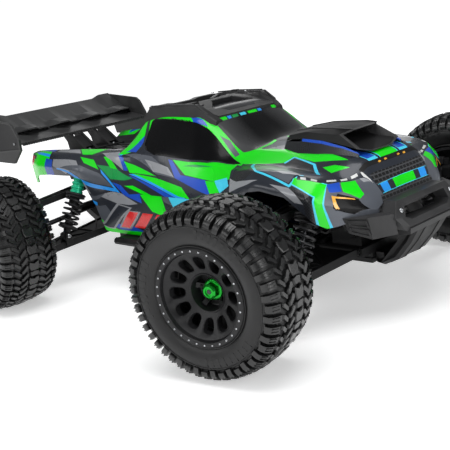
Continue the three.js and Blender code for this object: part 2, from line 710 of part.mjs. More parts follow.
function hoodScoop() {
  const hull = loft([
    [[112, -18, 170], [112, -18, 190], [112, 18, 190], [112, 18, 170]],
    [[150, -42, 170], [150, -34, 198], [150, 34, 198], [150, 42, 170]],
    [[214, -46, 160], [214, -34, 200], [214, 34, 200], [214, 46, 160]],
    [[246, -34, 155], [238, -26, 184], [238, 26, 184], [246, 34, 155]],
  ]);
  const mouth = loft([
    [[190, -20, 184], [190, -20, 194], [190, 20, 194], [190, 20, 184]],
    [[250, -28, 176], [250, -26, 196], [250, 26, 196], [250, 28, 176]],
  ]);
  return cut(hull, mouth, bodyLoft(0.4, 20));
}
piece("roof_skid", roofSkid(), PLASTIC);
piece("hood_scoop", hoodScoop(), PLASTIC);

// ---- Wing ---------------------------------------------------------------------------------
const WING = { half: 120, plateT: 3 };

function wing() {
  const blade = plate(
    [[-306, 198], [-308, 202], [-352, 210], [-404, 238], [-406, 234], [-353, 205]], -WING.half, WING.half,
  );
  const lip = plate([[-318, 206], [-320, 216], [-346, 222], [-347, 219], [-323, 211]], -108, 108);
  const plates = [-1, 1].map((side) => {
    const [a, b] = [side * WING.half, side * (WING.half + WING.plateT)].sort((p, q) => p - q);
    const outline = [[-304, 188], [-330, 170], [-398, 176], [-410, 240], [-326, 232]];
    return plate(outline, a - 0.1, b + 0.1);
  });
  const ribs = [-100, -40, 40, 100].map((y) => block([-330, y - 2, 203], [-322, y + 2, 212]));
  return join(blade, lip, ...plates, ...ribs);
}

function wingMount() {
  const stays = [-1, 1].map((side) => {
    const [a, b] = [side * 36, side * 28].sort((p, q) => p - q);
    return plate([[-312, 172], [-314, 196], [-330, 201.1], [-307, 197.6], [-262, 172]], a, b);
  });
  const foot = block([-306, -36, 169], [-270, 36, 174]);
  return cut(join(...stays, foot), bodyLoft(0.4, 20));
}
piece("wing", wing(), PLASTIC);
piece("wing_mount", wingMount(), PLASTIC);

export default truck;
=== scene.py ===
"""The looks of a large radio-controlled race truck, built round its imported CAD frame."""
import json
import math

import bmesh
import bpy
from mathutils import Matrix, Vector
from mathutils.geometry import tessellate_polygon

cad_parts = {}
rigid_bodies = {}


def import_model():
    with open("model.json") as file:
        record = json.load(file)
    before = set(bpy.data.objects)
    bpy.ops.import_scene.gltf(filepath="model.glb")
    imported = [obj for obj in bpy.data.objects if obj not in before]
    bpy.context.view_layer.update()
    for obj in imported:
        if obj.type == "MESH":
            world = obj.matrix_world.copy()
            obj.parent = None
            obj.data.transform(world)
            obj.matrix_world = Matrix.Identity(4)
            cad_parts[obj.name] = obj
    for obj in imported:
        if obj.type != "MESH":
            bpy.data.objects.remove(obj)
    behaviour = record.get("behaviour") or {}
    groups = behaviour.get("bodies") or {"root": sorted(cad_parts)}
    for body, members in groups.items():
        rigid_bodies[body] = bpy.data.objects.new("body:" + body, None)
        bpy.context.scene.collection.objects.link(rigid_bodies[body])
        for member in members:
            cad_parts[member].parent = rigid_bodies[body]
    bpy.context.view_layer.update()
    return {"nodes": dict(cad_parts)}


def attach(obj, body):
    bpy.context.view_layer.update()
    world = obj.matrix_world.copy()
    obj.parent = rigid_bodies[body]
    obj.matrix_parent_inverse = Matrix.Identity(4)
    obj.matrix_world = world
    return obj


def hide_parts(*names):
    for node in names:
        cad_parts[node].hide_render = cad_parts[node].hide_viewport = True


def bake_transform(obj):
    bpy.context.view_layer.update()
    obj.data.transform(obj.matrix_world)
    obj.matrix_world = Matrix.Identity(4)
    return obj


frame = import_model()

# Lengths are in millimetres until they become mesh coordinates. x is counted from the
# middle of the wheelbase and moved forward by MID when a point is made.
MM = 0.001
MID = 49.1
FRONT_X, REAR_X = 215.0, -215.0
TYRE_R = 88.2
AXLE_Z = 88.24
WHEEL_Y = 232.5
KING_Y = 206.0
STEER = math.radians(13)
PIN_Y, PIN_LOW_Z, PIN_UP_Z = 190.0, 56.0, 120.0
LINK_DY, LINK_DZ = 148.0, 12.0
MERGE = 0.01

for o in [o for o in bpy.data.objects if o.name in ("Cube", "Light", "Camera")]:
    bpy.data.objects.remove(o)


# ---- Materials --------------------------------------------------------------------------
class Nodes:
    """A short way to write a node tree."""

    def __init__(self, name):
        self.mat = bpy.data.materials.new(name)
        self.mat.use_nodes = True
        self.tree = self.mat.node_tree
        self.bsdf = self.tree.nodes["Principled BSDF"]
        self.co = self.add("ShaderNodeTexCoord").outputs["Object"]

    def add(self, kind, **values):
        node = self.tree.nodes.new(kind)
        for key, value in values.items():
            setattr(node, key, value)
        return node

    def link(self, a, b):
        self.tree.links.new(a, b)

    def noise(self, scale, detail=3.0):
        node = self.add("ShaderNodeTexNoise")
        node.inputs["Scale"].default_value = scale
        node.inputs["Detail"].default_value = detail
        self.link(self.co, node.inputs["Vector"])
        return node.outputs["Fac"]

    def mapped(self, scale, turn):
        node = self.add("ShaderNodeMapping")
        node.inputs["Scale"].default_value = scale
        node.inputs["Rotation"].default_value = turn
        self.link(self.co, node.inputs["Vector"])
        return node.outputs["Vector"]

    def ramp(self, fac, stops):
        node = self.add("ShaderNodeValToRGB")
        cells = node.color_ramp.elements
        while len(cells) < len(stops):
            cells.new(0.5)
        for cell, (position, color) in zip(cells, stops):
            cell.position = position
            cell.color = (*color, 1)
        self.link(fac, node.inputs["Fac"])
        return node.outputs["Color"]

    def span(self, fac, low, high, lo_in=0.3, hi_in=0.7):
        """Maps lo_in..hi_in of the input to low..high."""
        node = self.add("ShaderNodeMapRange")
        for key, value in zip(("From Min", "From Max", "To Min", "To Max"), (lo_in, hi_in, low, high)):
            node.inputs[key].default_value = value
        self.link(fac, node.inputs["Value"])
        return node.outputs["Result"]

    def math(self, kind, a, b=0.5):
        node = self.add("ShaderNodeMath", operation=kind)
        for value, socket in ((a, node.inputs[0]), (b, node.inputs[1])):
            if isinstance(value, (int, float)):
                socket.default_value = value
            else:
                self.link(value, socket)
        return node.outputs[0]

    def mix(self, fac, a, b):
        node = self.add("ShaderNodeMix", data_type="RGBA")
        for value, socket in ((fac, node.inputs[0]), (a, node.inputs[6]), (b, node.inputs[7])):
            if isinstance(value, tuple):
                socket.default_value = (*value, 1)
            else:
                self.link(value, socket)
        return node.outputs[2]

    def bump(self, height, strength, distance):
        node = self.add("ShaderNodeBump")
        node.inputs["Strength"].default_value = strength
        node.inputs["Distance"].default_value = distance
        self.link(height, node.inputs["Height"])
        self.link(node.outputs["Normal"], self.bsdf.inputs["Normal"])

    def put(self, **sockets):
        for name, value in sockets.items():
            socket = self.bsdf.inputs[name.replace("_", " ")]
            if isinstance(value, (int, float)):
                socket.default_value = value
            elif isinstance(value, tuple):
                socket.default_value = (*value, 1)
            else:
                self.link(value, socket)
        return self.mat


def shade(color, k):
    return tuple(min(1.0, c * k) for c in color)


def gloss_paint(name, color, metallic=0.0, flake=0.12, gloss=0.6):
    """Paint seen through clear polycarbonate: a slight cloud, fine flakes and a gloss coat."""
    n = Nodes(name)
    cloud = n.noise(14, 3)
    base = n.ramp(cloud, [(0.3, shade(color, 0.86)), (0.7, shade(color, 1.08))])
    grain = n.noise(2600, 1)
    base = n.mix(n.span(grain, 0, flake, 0.55, 0.75), base, shade(color, 1.5))
    n.bump(n.noise(26, 2), 0.05, 0.0006)
    return n.put(Base_Color=base, Roughness=n.span(cloud, 0.24, 0.32), Metallic=metallic,
                 Specular_IOR_Level=gloss * 0.6, Coat_Weight=gloss * 0.5, Coat_Roughness=0.08)


def plastic(name, color, rough=(0.42, 0.56), grain=1500, bump=0.25):
    """Moulded plastic with a fine grain and a little unevenness of tone."""
    n = Nodes(name)
    tone = n.noise(45, 4)
    base = n.ramp(tone, [(0.3, shade(color, 0.75)), (0.7, shade(color, 1.25))])
    fine = n.noise(grain, 2)
    n.bump(fine, bump, 0.0002)
    return n.put(Base_Color=base, Roughness=n.span(tone, *rough), Specular_IOR_Level=0.28)


def metal(name, color, rough=(0.22, 0.36), metallic=1.0):
    n = Nodes(name)
    streak = n.noise(900)
    base = n.ramp(streak, [(0.3, shade(color, 0.8)), (0.7, shade(color, 1.1))])
    n.bump(streak, 0.08, 0.0001)
    return n.put(Base_Color=base, Roughness=n.span(streak, *rough), Metallic=metallic)


def carbon(name, dark, light):
    """Printed carbon cloth: diagonal bars broken into a twill, its threads 2.2 mm apart."""
    n = Nodes(name)
    parts = n.add("ShaderNodeSeparateXYZ")
    n.link(n.mapped((1000 / 2.2,) * 3, (0, math.radians(38), 0)), parts.inputs[0])
    bars = n.math("PINGPONG", parts.outputs["X"], 0.5)
    rungs = n.math("PINGPONG", n.math("ADD", parts.outputs["Z"], bars), 0.5)
    weave = n.math("MULTIPLY", bars, rungs)
    base = n.mix(n.span(weave, 0, 1, 0.02, 0.16), dark, light)
    n.bump(weave, 0.15, 0.0003)
    return n.put(Base_Color=base, Roughness=n.span(n.noise(30), 0.26, 0.36),
                 Specular_IOR_Level=0.3, Coat_Weight=0.25, Coat_Roughness=0.1)


def honeycomb(name, dark, light):
    """A mesh of staggered cells, laid out across the truck and up it."""
    n = Nodes(name)
    cell = 6.4
    across = Matrix(((0, 1, 0), (0, 0, 1), (1, 0, 0))).to_euler()
    cells = n.add("ShaderNodeTexBrick", offset=0.5, squash=1.0)
    for key, value in (("Scale", 1.0), ("Brick Width", cell / 1000), ("Row Height", cell * 0.68 / 1000),
                       ("Mortar Size", cell * 0.12 / 1000), ("Mortar Smooth", 0.3)):
        cells.inputs[key].default_value = value
    n.link(n.mapped((1, 1, 1), across), cells.inputs["Vector"])
    wall = cells.outputs["Fac"]
    base = n.mix(wall, dark, light)
    n.bump(wall, 0.8, 0.0012)
    return n.put(Base_Color=base, Roughness=n.span(n.noise(60), 0.35, 0.5))


def windscreen(name):
    """Black behind clear plastic, with a painted reflection, paler towards the two pillars."""
    n = Nodes(name)
    split = n.add("ShaderNodeSeparateXYZ")
    n.link(n.co, split.inputs[0])
    side = n.math("ABSOLUTE", split.outputs["Y"])
    # painted reflection: the colour grows paler with distance from the middle
    painted_reflection = n.math("ADD", side, n.span(n.noise(10, 3), -0.006, 0.006))
    base = n.mix(n.span(painted_reflection, 0, 1, 0.018, 0.055), (0.002, 0.002, 0.0025), (0.055, 0.056, 0.058))
    return n.put(Base_Color=base, Roughness=n.span(n.noise(14, 3), 0.24, 0.32),
                 Specular_IOR_Level=0.15, Coat_Weight=0.1, Coat_Roughness=0.08)


def rubber(name, color, rough=(0.5, 0.66), spec=0.3):
    n = Nodes(name)
    tone = n.noise(60, 5)
    dust = n.noise(9, 3)
    base = n.ramp(tone, [(0.3, shade(color, 0.75)), (0.7, shade(color, 1.3))])
    base = n.mix(n.span(dust, 0, 0.25, 0.5, 0.75), base, shade(color, 1.9))
    fine = n.noise(2400, 2)
    n.bump(fine, 0.3, 0.0002)
    return n.put(Base_Color=base, Roughness=n.span(tone, *rough), Specular_IOR_Level=spec)


# Marks that shine with a painted glow: emission brightens them, though they are paint and no lamps.
def painted_glow(name, color, strength):
    n = Nodes(name)
    base = n.ramp(n.noise(400, 2), [(0.3, shade(color, 0.8)), (0.7, color)])
    return n.put(Base_Color=base, Roughness=n.span(n.noise(80), 0.15, 0.3),
                 Emission_Color=base, Emission_Strength=strength, Coat_Weight=1.0)


M = {
    "green": gloss_paint("paint_green", (0.003, 0.74, 0.003)),
    "emerald": gloss_paint("paint_emerald", (0.004, 0.30, 0.06)),
    "blue": gloss_paint("paint_blue", (0.008, 0.07, 0.48)),
    "azure": gloss_paint("paint_azure", (0.02, 0.30, 0.85)),
    "cyan": gloss_paint("paint_cyan", (0.06, 0.62, 0.86)),
    "grey": gloss_paint("paint_grey", (0.095, 0.105, 0.125), 0.15, 0.3),
    "silver": gloss_paint("paint_silver", (0.30, 0.31, 0.33), 0.15, 0.3),
    "slate": gloss_paint("paint_slate", (0.022, 0.026, 0.036), 0.2, 0.2),
    "carbon": carbon("paint_carbon", (0.006, 0.0065, 0.008), (0.035, 0.037, 0.042)),
    "window": gloss_paint("window_black", (0.002, 0.002, 0.0025), 0.0, 0.02, 0.22),
    "screen": windscreen("windscreen_painted_reflection"),
    "white": gloss_paint("paint_white", (0.62, 0.63, 0.62)),
    # the amber and red marks shine with a painted glow
    "amber": painted_glow("amber_painted_glow", (0.75, 0.36, 0.03), 0.35),
    "red": painted_glow("red_painted_glow", (0.6, 0.01, 0.01), 0.3),
    "mesh": honeycomb("grille_mesh", (0.003, 0.003, 0.0035), (0.055, 0.057, 0.062)),
    "inside": plastic("shell_inside", (0.01, 0.01, 0.011), (0.6, 0.75)),
    "black": plastic("moulded_black", (0.016, 0.016, 0.017)),
    "soot": plastic("moulded_soot", (0.0085, 0.0085, 0.009), (0.48, 0.62)),
    "frame": plastic("moulded_frame", (0.022, 0.022, 0.0225), (0.36, 0.5)),
    "bumper": plastic("moulded_bumper", (0.032, 0.032, 0.033), (0.38, 0.52)),
    "wing": plastic("moulded_wing", (0.036, 0.0365, 0.037), (0.4, 0.52), 1100),
    "rim": plastic("rim_satin", (0.015, 0.015, 0.016), (0.34, 0.44), 2000, 0.15),
    "ring": plastic("bead_ring", (0.014, 0.014, 0.015), (0.3, 0.42), 2000, 0.15),
    "tyre": rubber("tyre_rubber", (0.0055, 0.0055, 0.0058), (0.36, 0.46), 0.42),
    "tread": rubber("tread_rubber", (0.0065, 0.0066, 0.0068), (0.24, 0.36), 0.6),
    "steel": metal("bright_steel", (0.55, 0.56, 0.58)),
    "dark_steel": metal("dark_steel", (0.07, 0.07, 0.075), (0.3, 0.45)),
    "nut": metal("green_anodised", (0.008, 0.42, 0.03), (0.16, 0.26), metallic=0.7),
    "teal": metal("teal_anodised", (0.01, 0.55, 0.28), (0.2, 0.3), metallic=0.25),
    "coil": metal("coil_black", (0.022, 0.022, 0.024), (0.25, 0.38), metallic=0.4),
    "cells": gloss_paint("battery_wrap", (0.03, 0.09, 0.3)),
}


# ---- Mesh building ----------------------------------------------------------------------
def at(x, y, z):
    return Vector(((x + MID) * MM, y * MM, z * MM))


class Build:
    """Collects faces in millimetres and turns them into one object."""

    def __init__(self, *slots):
        self.bm = bmesh.new()
        self.slots = list(slots)
        self.index = 0

    def use(self, slot):
        if slot not in self.slots:
            self.slots.append(slot)
        self.index = self.slots.index(slot)
        return self

    def face(self, verts):
        f = self.bm.faces.new(verts)
        f.material_index = self.index
        return f

    def ring(self, points):
        return [self.bm.verts.new(at(*p)) for p in points]

    def skin(self, rings, caps=(True, True), around=True):
        rows = [self.ring(r) for r in rings]
        count = len(rows[0])
        for a, b in zip(rows, rows[1:]):
            for i in range(count if around else count - 1):
                j = (i + 1) % count
                self.face((a[i], a[j], b[j], b[i]))
        if caps[0]:
            self.face(list(reversed(rows[0])))
        if caps[1]:
            self.face(rows[-1])
        return rows

    def box(self, lo, hi):
        (x0, y0, z0), (x1, y1, z1) = lo, hi
        low = [(x0, y0, z0), (x1, y0, z0), (x1, y1, z0), (x0, y1, z0)]
        return self.skin([low, [(x, y, z1) for x, y, _ in low]])

    def slab(self, outline, a, b, plane="xz"):
        """An outline extruded from a to b; plane names the outline's two axes."""
        def place(u, v, w):
            return {"xz": (u, w, v), "xy": (u, v, w), "yz": (w, u, v)}[plane]
        return self.skin([[place(u, v, w) for u, v in outline] for w in (a, b)])

    def rod(self, a, b, radius, sides=14):
        u, v = basis(b - a)
        return self.skin([circle(p, u, v, radius, sides) for p in (a, b)])

    def lathe(self, profile, centre, axis, sides=32, closed=False):
        """profile is [(distance along the axis, radius)]; a closed one is a loop, without caps."""
        centre, axis = Vector(centre), Vector(axis).normalized()
        u, v = basis(axis)
        rings = [circle(centre + axis * d, u, v, r, sides) for d, r in profile]
        if closed:
            rings.append(rings[0])
        return self.skin(rings, (not closed and profile[0][1] > 0.01,) * 2)

    def tube(self, path, radius, sides=8):
        path = [Vector(p) for p in path]
        rings = []
        u = None
        for i, p in enumerate(path):
            d = (path[min(i + 1, len(path) - 1)] - path[max(i - 1, 0)]).normalized()
            if u is None:
                u, _ = basis(d)
            u = (u - d * u.dot(d)).normalized()
            rings.append(circle(p, u, d.cross(u), radius, sides))
        return self.skin(rings)

    def screw(self, p, axis, r=2.2, length=1.4):
        """A button-head screw with a hexagonal socket."""
        p, axis = Vector(p), Vector(axis).normalized()
        self.lathe([(0, r), (length * 0.5, r), (length, r * 0.7), (length, r * 0.45),
                    (length * 0.3, r * 0.45), (length * 0.3, 0.01)], p, axis, 12)

    def mesh(self, name, angle):
        """The finished mesh, its edges sharp from this angle in degrees."""
        bm = self.bm
        bmesh.ops.remove_doubles(bm, verts=bm.verts, dist=MERGE * MM)
        bmesh.ops.recalc_face_normals(bm, faces=bm.faces)
        sharpen(bm, angle)
        mesh = bpy.data.meshes.new(name)
        bm.to_mesh(mesh)
        bm.free()
        for s in self.slots:
            mesh.materials.append(M[s])
        return mesh

    def object(self, name, bevel=0.0):
        o = add_object(name, self.mesh(name, 35))
        if bevel:
            m = o.modifiers.new("edge", "BEVEL")
            m.width = bevel * MM
            m.segments = 2
            m.limit_method = "ANGLE"
            m.angle_limit = math.radians(30)
            m.harden_normals = True
        return o

    def done(self, name, body, slot, replaces=(), bevel=0.0):
        return place(self.object(name, bevel), body, slot, replaces)


def add_object(name, data):
    o = bpy.data.objects.new(name, data)
    bpy.context.scene.collection.objects.link(o)
    return o


def place(o, body, slot, replaces=()):
    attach(o, body)
    if replaces:
        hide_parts(*replaces)
    return o


def sharpen(bm, angle):
    limit = math.radians(angle)
    for f in bm.faces:
        f.smooth = True
    for e in bm.edges:
        if len(e.link_faces) != 2 or e.calc_face_angle(0) > limit:
            e.smooth = False


def turns(count):
    return [2 * math.pi * i / count for i in range(count)]


def circle(centre, u, v, radius, sides):
    return [centre + (u * math.cos(t) + v * math.sin(t)) * radius for t in turns(sides)]


def mirrored(half):
    """A loop over both sides, from the points of its left half."""
    return [(x, -y, z) for x, y, z in half] + [(x, y, z) for x, y, z in reversed(half)]


def basis(axis):
    axis = Vector(axis).normalized()
    other = Vector((0, 0, 1)) if abs(axis.z) < 0.9 else Vector((1, 0, 0))
    u = axis.cross(other).normalized()
    return u, axis.cross(u)


def lerp(a, b, t):
    return a + (b - a) * t


# ---- Stage ------------------------------------------------------------------------------
def make_stage():
    cam = add_object("camera", bpy.data.cameras.new("camera"))
    azimuth, elevation, roll = math.radians(47.85), math.radians(13.9), math.radians(-8.18)
    back = Vector((math.sin(azimuth) * math.cos(elevation),
                   -math.cos(azimuth) * math.cos(elevation), math.sin(elevation)))
    right = (-back).cross(Vector((0, 0, 1))).normalized()
    up = right.cross(-back)
    right, up = (right * math.cos(roll) + up * math.sin(roll),
                 up * math.cos(roll) - right * math.sin(roll))
    turn = Matrix((right, up, back)).transposed().to_4x4()
    cam.matrix_world = Matrix.Translation(at(782, -721.5, 331.4)) @ turn
    cam.data.lens = 64.6
    cam.data.sensor_width = 36
    cam.data.clip_end = 60
    bpy.context.scene.camera = cam

    floor_mesh = bpy.data.meshes.new("floor")
    bm = bmesh.new()
    bmesh.ops.create_grid(bm, x_segments=1, y_segments=1, size=30)
    bm.to_mesh(floor_mesh)
    bm.free()
    floor = add_object("floor", floor_mesh)
    n = Nodes("floor_white")
    tone = n.ramp(n.noise(3, 2), [(0.3, (0.9, 0.9, 0.9)), (0.7, (0.93, 0.93, 0.93))])
    away = n.add("ShaderNodeVectorMath", operation="LENGTH")
    n.link(n.co, away.inputs[0])
    lift = n.span(away.outputs["Value"], 0.47, 0.95, 0.5, 1.4)
    floor_mesh.materials.append(n.put(Base_Color=tone, Roughness=0.75, Emission_Color=tone,
                                      Emission_Strength=lift))

    world = bpy.data.worlds.new("studio")
    bpy.context.scene.world = world
    world.use_nodes = True
    tree = world.node_tree
    dim = tree.nodes["Background"]
    dim.inputs["Color"].default_value = (0.96, 0.98, 1, 1)
    dim.inputs["Strength"].default_value = 0.2
    bright = tree.nodes.new("ShaderNodeBackground")
    bright.inputs["Color"].default_value = (1, 1, 1, 1)
    bright.inputs["Strength"].default_value = 1.05
    pick = tree.nodes.new("ShaderNodeMixShader")
    path = tree.nodes.new("ShaderNodeLightPath")
    tree.links.new(path.outputs["Is Camera Ray"], pick.inputs["Fac"])
    tree.links.new(dim.outputs[0], pick.inputs[1])
    tree.links.new(bright.outputs[0], pick.inputs[2])
    tree.links.new(pick.outputs[0], tree.nodes["World Output"].inputs["Surface"])

    for name, place_at, aim, size, power in (
        ("key", (300, -300, 1500), (0, 0, 100), (1.5, 0.8), 15),
        ("side", (-300, -1500, 700), (0, 0, 130), (2.2, 0.35), 8),
        ("front", (1500, -300, 500), (200, 0, 100), (0.5, 1.1), 6),
        ("rim_light", (-1200, 1300, 1000), (-100, 0, 120), (1.4, 0.6), 4),
    ):
        lamp = add_object(name, bpy.data.lights.new(name, "AREA"))
        lamp.data.shape = "RECTANGLE"
        lamp.data.size, lamp.data.size_y = size
        lamp.data.energy = power
        lamp.location = at(*place_at)
        lamp.rotation_euler = (at(*aim) - at(*place_at)).to_track_quat("-Z", "Y").to_euler()
    bpy.context.scene.view_settings.view_transform = "Standard"


# ---- Wheels -----------------------------------------------------------------------------
# A wheel is made about its own centre with its outer face towards -y, then put in place.
LUGS = 48
HUB, OUTWARD = (-MID, 0, 0), (0, -1, 0)


def around(r, angle, w):
    """A point of a wheel: radius, angle round the axle, distance along it (outward is +w)."""
    return (r * math.sin(angle) - MID, -w, r * math.cos(angle))


def hoop(b, r, w, sides, radius):
    """A raised ring on the tyre's sidewall."""
    b.tube([around(r, t, w) for t in turns(sides)] + [around(r, 0, w)], radius, 6)


def block(b, angle, w, outline, top, base):
    """A tread block from an outline of (around, across) offsets, with a bevelled top."""
    def ring(r, k):
        return [around(r, angle + (u * k) / TYRE_R, w + v * k) for u, v in outline]
    b.skin([ring(base, 1.08), ring(top - 0.9, 1.0), ring(top, 0.86)], (False, True))


def shoulder_lug(b, angle, s, wide, start, end_r):
    """A lug that runs over the corner and down the sidewall, with two shallow bars on it."""
    path = [(start, 84.6), (34.4, 83.0), (38.2, 80.4), (40.2, 77.0), (40.3, end_r)]
    under = [(start, 79.4), (33.3, 77.6), (36.4, 74.4), (37.8, 71.4), (37.6, end_r - 1)]
    b.skin([[around(r, angle + du / TYRE_R, s * w) for du, (w, r) in
             ((-wide, low), (-wide * 0.84, high), (wide * 0.84, high), (wide, low))]
            for high, low in zip(path, under)])
    for du in (-1.7, 1.7):
        bar = []
        for e, (r0, w0), (r1, w1) in ((0.55, (83.4, 31.5), (80.0, 38.0)), (0.4, (84.8, 31.9), (81.4, 38.8))):
            bar.append([around(r, angle + (du + side * e) / TYRE_R, s * w)
                        for side, r, w in ((-1, r0, w0), (1, r0, w0), (1, r1, w1), (-1, r1, w1))])
        b.skin(bar, (False, True))


def tread(b):
    def crown(w):
        """How far the tread's curve has dropped at this distance from the middle."""
        return w * w * 0.0042

    step = 2 * math.pi / LUGS
    arrow = [(-6.045, -6.4), (0.31, -7.6), (6.51, -5.2), (7.13, 0), (6.51, 5.2), (0.31, 7.6),
             (-6.045, 6.4), (-3.41, 0)]
    plain = [(-3.0, -6.6), (3.4, -5.0), (3.4, 5.0), (-3.0, 6.6), (-4.4, 0)]
    slant = [(-5.2, -4.4), (-1.4, -4.9), (4.9, 2.4), (5.4, 4.6), (1.2, 4.7), (-5.0, -2.2)]
    for i in range(LUGS):
        a = i * step
        if i % 2 == 0:
            block(b, a, 0, arrow, TYRE_R, 83.6)
        else:
            block(b, a, 0, plain, TYRE_R - 0.3, 83.6)
        for s in (-1, 1):
            block(b, a + step * 0.25, s * 13.2, [(u, v * s) for u, v in slant][::s],
                  TYRE_R - crown(13), 82.8)
            block(b, a + step * 0.6, s * 22.6, [(-u, v * s) for u, v in slant][::-s],
                  TYRE_R - crown(22.6) - 0.2, 81.4)
            wide, start, end_r = (3.9, 28.2, 71.5) if i % 2 else (4.6, 30.4, 74)
            shoulder_lug(b, a + step * 0.4, s, wide, start, end_r)


def sidewall_bars(b, s):
    """Three groups of raised bars moulded on a sidewall."""
    span, count = 0.9, 9
    for centre in (0.6, 2.7, 4.8):
        for k in range(count):
            a = centre + span * (k / (count - 1) - 0.5)
            tall = 3.2 if k % 3 == 1 else 4.4
            b.skin([[around(r, a + t, s * (39.1 + lift)) for t, r in
                     ((-0.022, 64 - tall), (0.022, 64 - tall), (0.026, 64 + tall), (-0.026, 64 + tall))]
                    for lift in (-0.6, 0.55)], (False, True))


def tyre_mesh():
    b = Build("tyre")
    half = [(0, 84.4), (12, 84.0), (24, 82.0), (31, 79.4), (36, 75.2), (38.6, 70.5), (39.6, 65),
            (39.4, 60), (37.6, 54.5), (35.4, 51), (33.6, 49.6), (31, 48.4)]
    profile = [(-w, r) for w, r in reversed(half)] + half[1:]
    b.skin([[around(r, t, w) for t in turns(96)] for w, r in profile], (False, False))
    for s in (-1, 1):
        hoop(b, 50.6, s * 35.9, 64, 0.8)
    b.use("tread")
    tread(b)
    b.use("tyre")
    for s in (-1, 1):
        sidewall_bars(b, s)
        hoop(b, 70.0, s * 38.8, 96, 0.7)
    return b.mesh("tyre_mesh", 38)


def dish(b):
    """The rim's front as sectors, each round one window."""
    count = 12
    step = 2 * math.pi / count

    def face_w(r):
        return 21.5 + (r - 19.5) * 0.49

    inner, outer, per = 19.5, 43.3, 7
    edge = [(-0.5 + i / per, inner) for i in range(per)]
    edge += [(0.5, lerp(inner, outer, i / per)) for i in range(per)]
    edge += [(0.5 - i / per, outer) for i in range(per)]
    edge += [(-0.5, lerp(outer, inner, i / per)) for i in range(per)]
    for k in range(count):
        a0 = k * step
        rings = [[around(r, a0 + u * step, face_w(r)) for u, r in edge]]
        for grow, depth in ((1.16, 0), (1.0, -0.9), (0.93, -7.5)):
            hole = []
            for u, r in edge:
                t = math.atan2((r - (inner + outer) / 2) / (outer - inner), u)
                cu, cr = math.cos(t), math.sin(t)
                bulge = (abs(cu) ** 2.8 + abs(cr) ** 2.8) ** (-1 / 2.8)
                at_r = 31.7 + cr * bulge * 7.1 * grow
                wide = 4.4 + (at_r - 24.6) * 0.17
                hole.append(around(at_r, a0 + cu * bulge * wide * grow / at_r, face_w(at_r) + depth))
            rings.append(hole)
        b.skin(rings, (False, False))


def hub_recess(b):
    """The recess in the rim's middle, with five ribs and a small socket on each, darkened as painted shade in
    its hole.
    """
    b.lathe([(4.0, 20.3), (21.4, 20.3), (22.5, 19.4), (22.0, 18.5), (8.5, 17.0), (6.0, 12.5),
             (9.5, 11.6), (10.2, 10.6), (10.2, 0.01)], HUB, OUTWARD, 56)
    for t in turns(5):
        b.skin([[around(r, t + u / r, w) for u, r, w in
                 ((-2.2, 10, lift), (2.2, 10, lift), (2.9, 17.2, lift + up), (-2.9, 17.2, lift + up))]
                for lift, up in ((6, 0), (10.4, 5.5))])
        # painted shade: the sockets take the darker soot plastic
        b.use("soot")
        b.lathe([(12.4, 1.5), (13.6, 1.3), (13.6, 0.7), (12.0, 0.7), (12.0, 0.01)],
                around(13.2, t, 0), OUTWARD, 10)
        b.use("rim")


def wheel_nut(b):
    """A flanged nut on the end of the stub."""
    b.use("nut")
    b.lathe([(9.6, 10.2), (10.8, 10.6), (12.0, 9.9), (12.6, 8.4)], HUB, OUTWARD, 40)
    b.skin([[around(r, t, w) for t in turns(6)] for w, r in ((12.0, 8.4), (17.6, 8.4), (18.8, 7.4))],
           (False, False))
    b.lathe([(18.7, 7.1), (20.0, 5.6), (19.7, 4.2), (16.5, 4.0), (16.5, 0.01)], HUB, OUTWARD, 24)
    b.use("dark_steel")
    b.lathe([(16.2, 2.6), (19.0, 2.5), (19.4, 1.9), (19.4, 0.01)], HUB, OUTWARD, 16)


def rim_mesh():
    b = Build("rim")
    # the barrel, its lips and the inner bead
    b.lathe([(-36.8, 48.2), (-36.8, 44.6), (-30, 43.4), (12, 43.4), (19, 43.2), (33, 43.6),
             (35.5, 44.4), (35.5, 48.2), (30, 48.2), (30, 46), (-30, 46), (-30, 48.2)],
            HUB, OUTWARD, 72, True)
    # bead ring with its screws
    b.use("ring")
    b.lathe([(35.3, 44.2), (36.9, 43.9), (37.9, 44.5), (38.1, 46.0), (37.9, 48.6), (36.9, 49.7),
             (34.9, 49.9), (34.9, 46)], HUB, OUTWARD, 96, True)
    b.use("steel")
    for t in turns(32):
        b.screw(around(46.7, t, 38.0), OUTWARD, 0.95, 0.8)
    b.use("rim")
    dish(b)
    hub_recess(b)
    # the wheel behind the windows
    b.use("soot")
    b.lathe([(8, 43), (9.5, 30), (6, 18), (6, 8), (-8, 9), (-30, 9.2), (-30, 6.9), (-18, 6.9),
             (-18, 0.01)], HUB, OUTWARD, 40)
    wheel_nut(b)
    return b.mesh("rim_mesh", 32)


def make_wheels():
    meshes = {"tyre": tyre_mesh(), "rim": rim_mesh()}
    for corner, x, side in CORNERS:
        for kind, slot in (("tyre", "tyre_rubber"), ("rim", "rim_plastic")):
            o = add_object(f"{corner}_{kind}_looks", meshes[kind])
            flip = Matrix.Rotation(math.pi if side > 0 else 0, 4, "Z")
            hub = Matrix.Translation(at(x, side * KING_Y, AXLE_Z))
            out = Matrix.Translation(Vector((0, side * (WHEEL_Y - KING_Y) * MM, 0)))
            steer = Matrix.Rotation(STEER if x > 0 else 0, 4, "Z")
            o.matrix_world = hub @ steer @ out @ flip
            place(o, f"{corner}_wheel", slot, (f"{corner}_{kind}",))


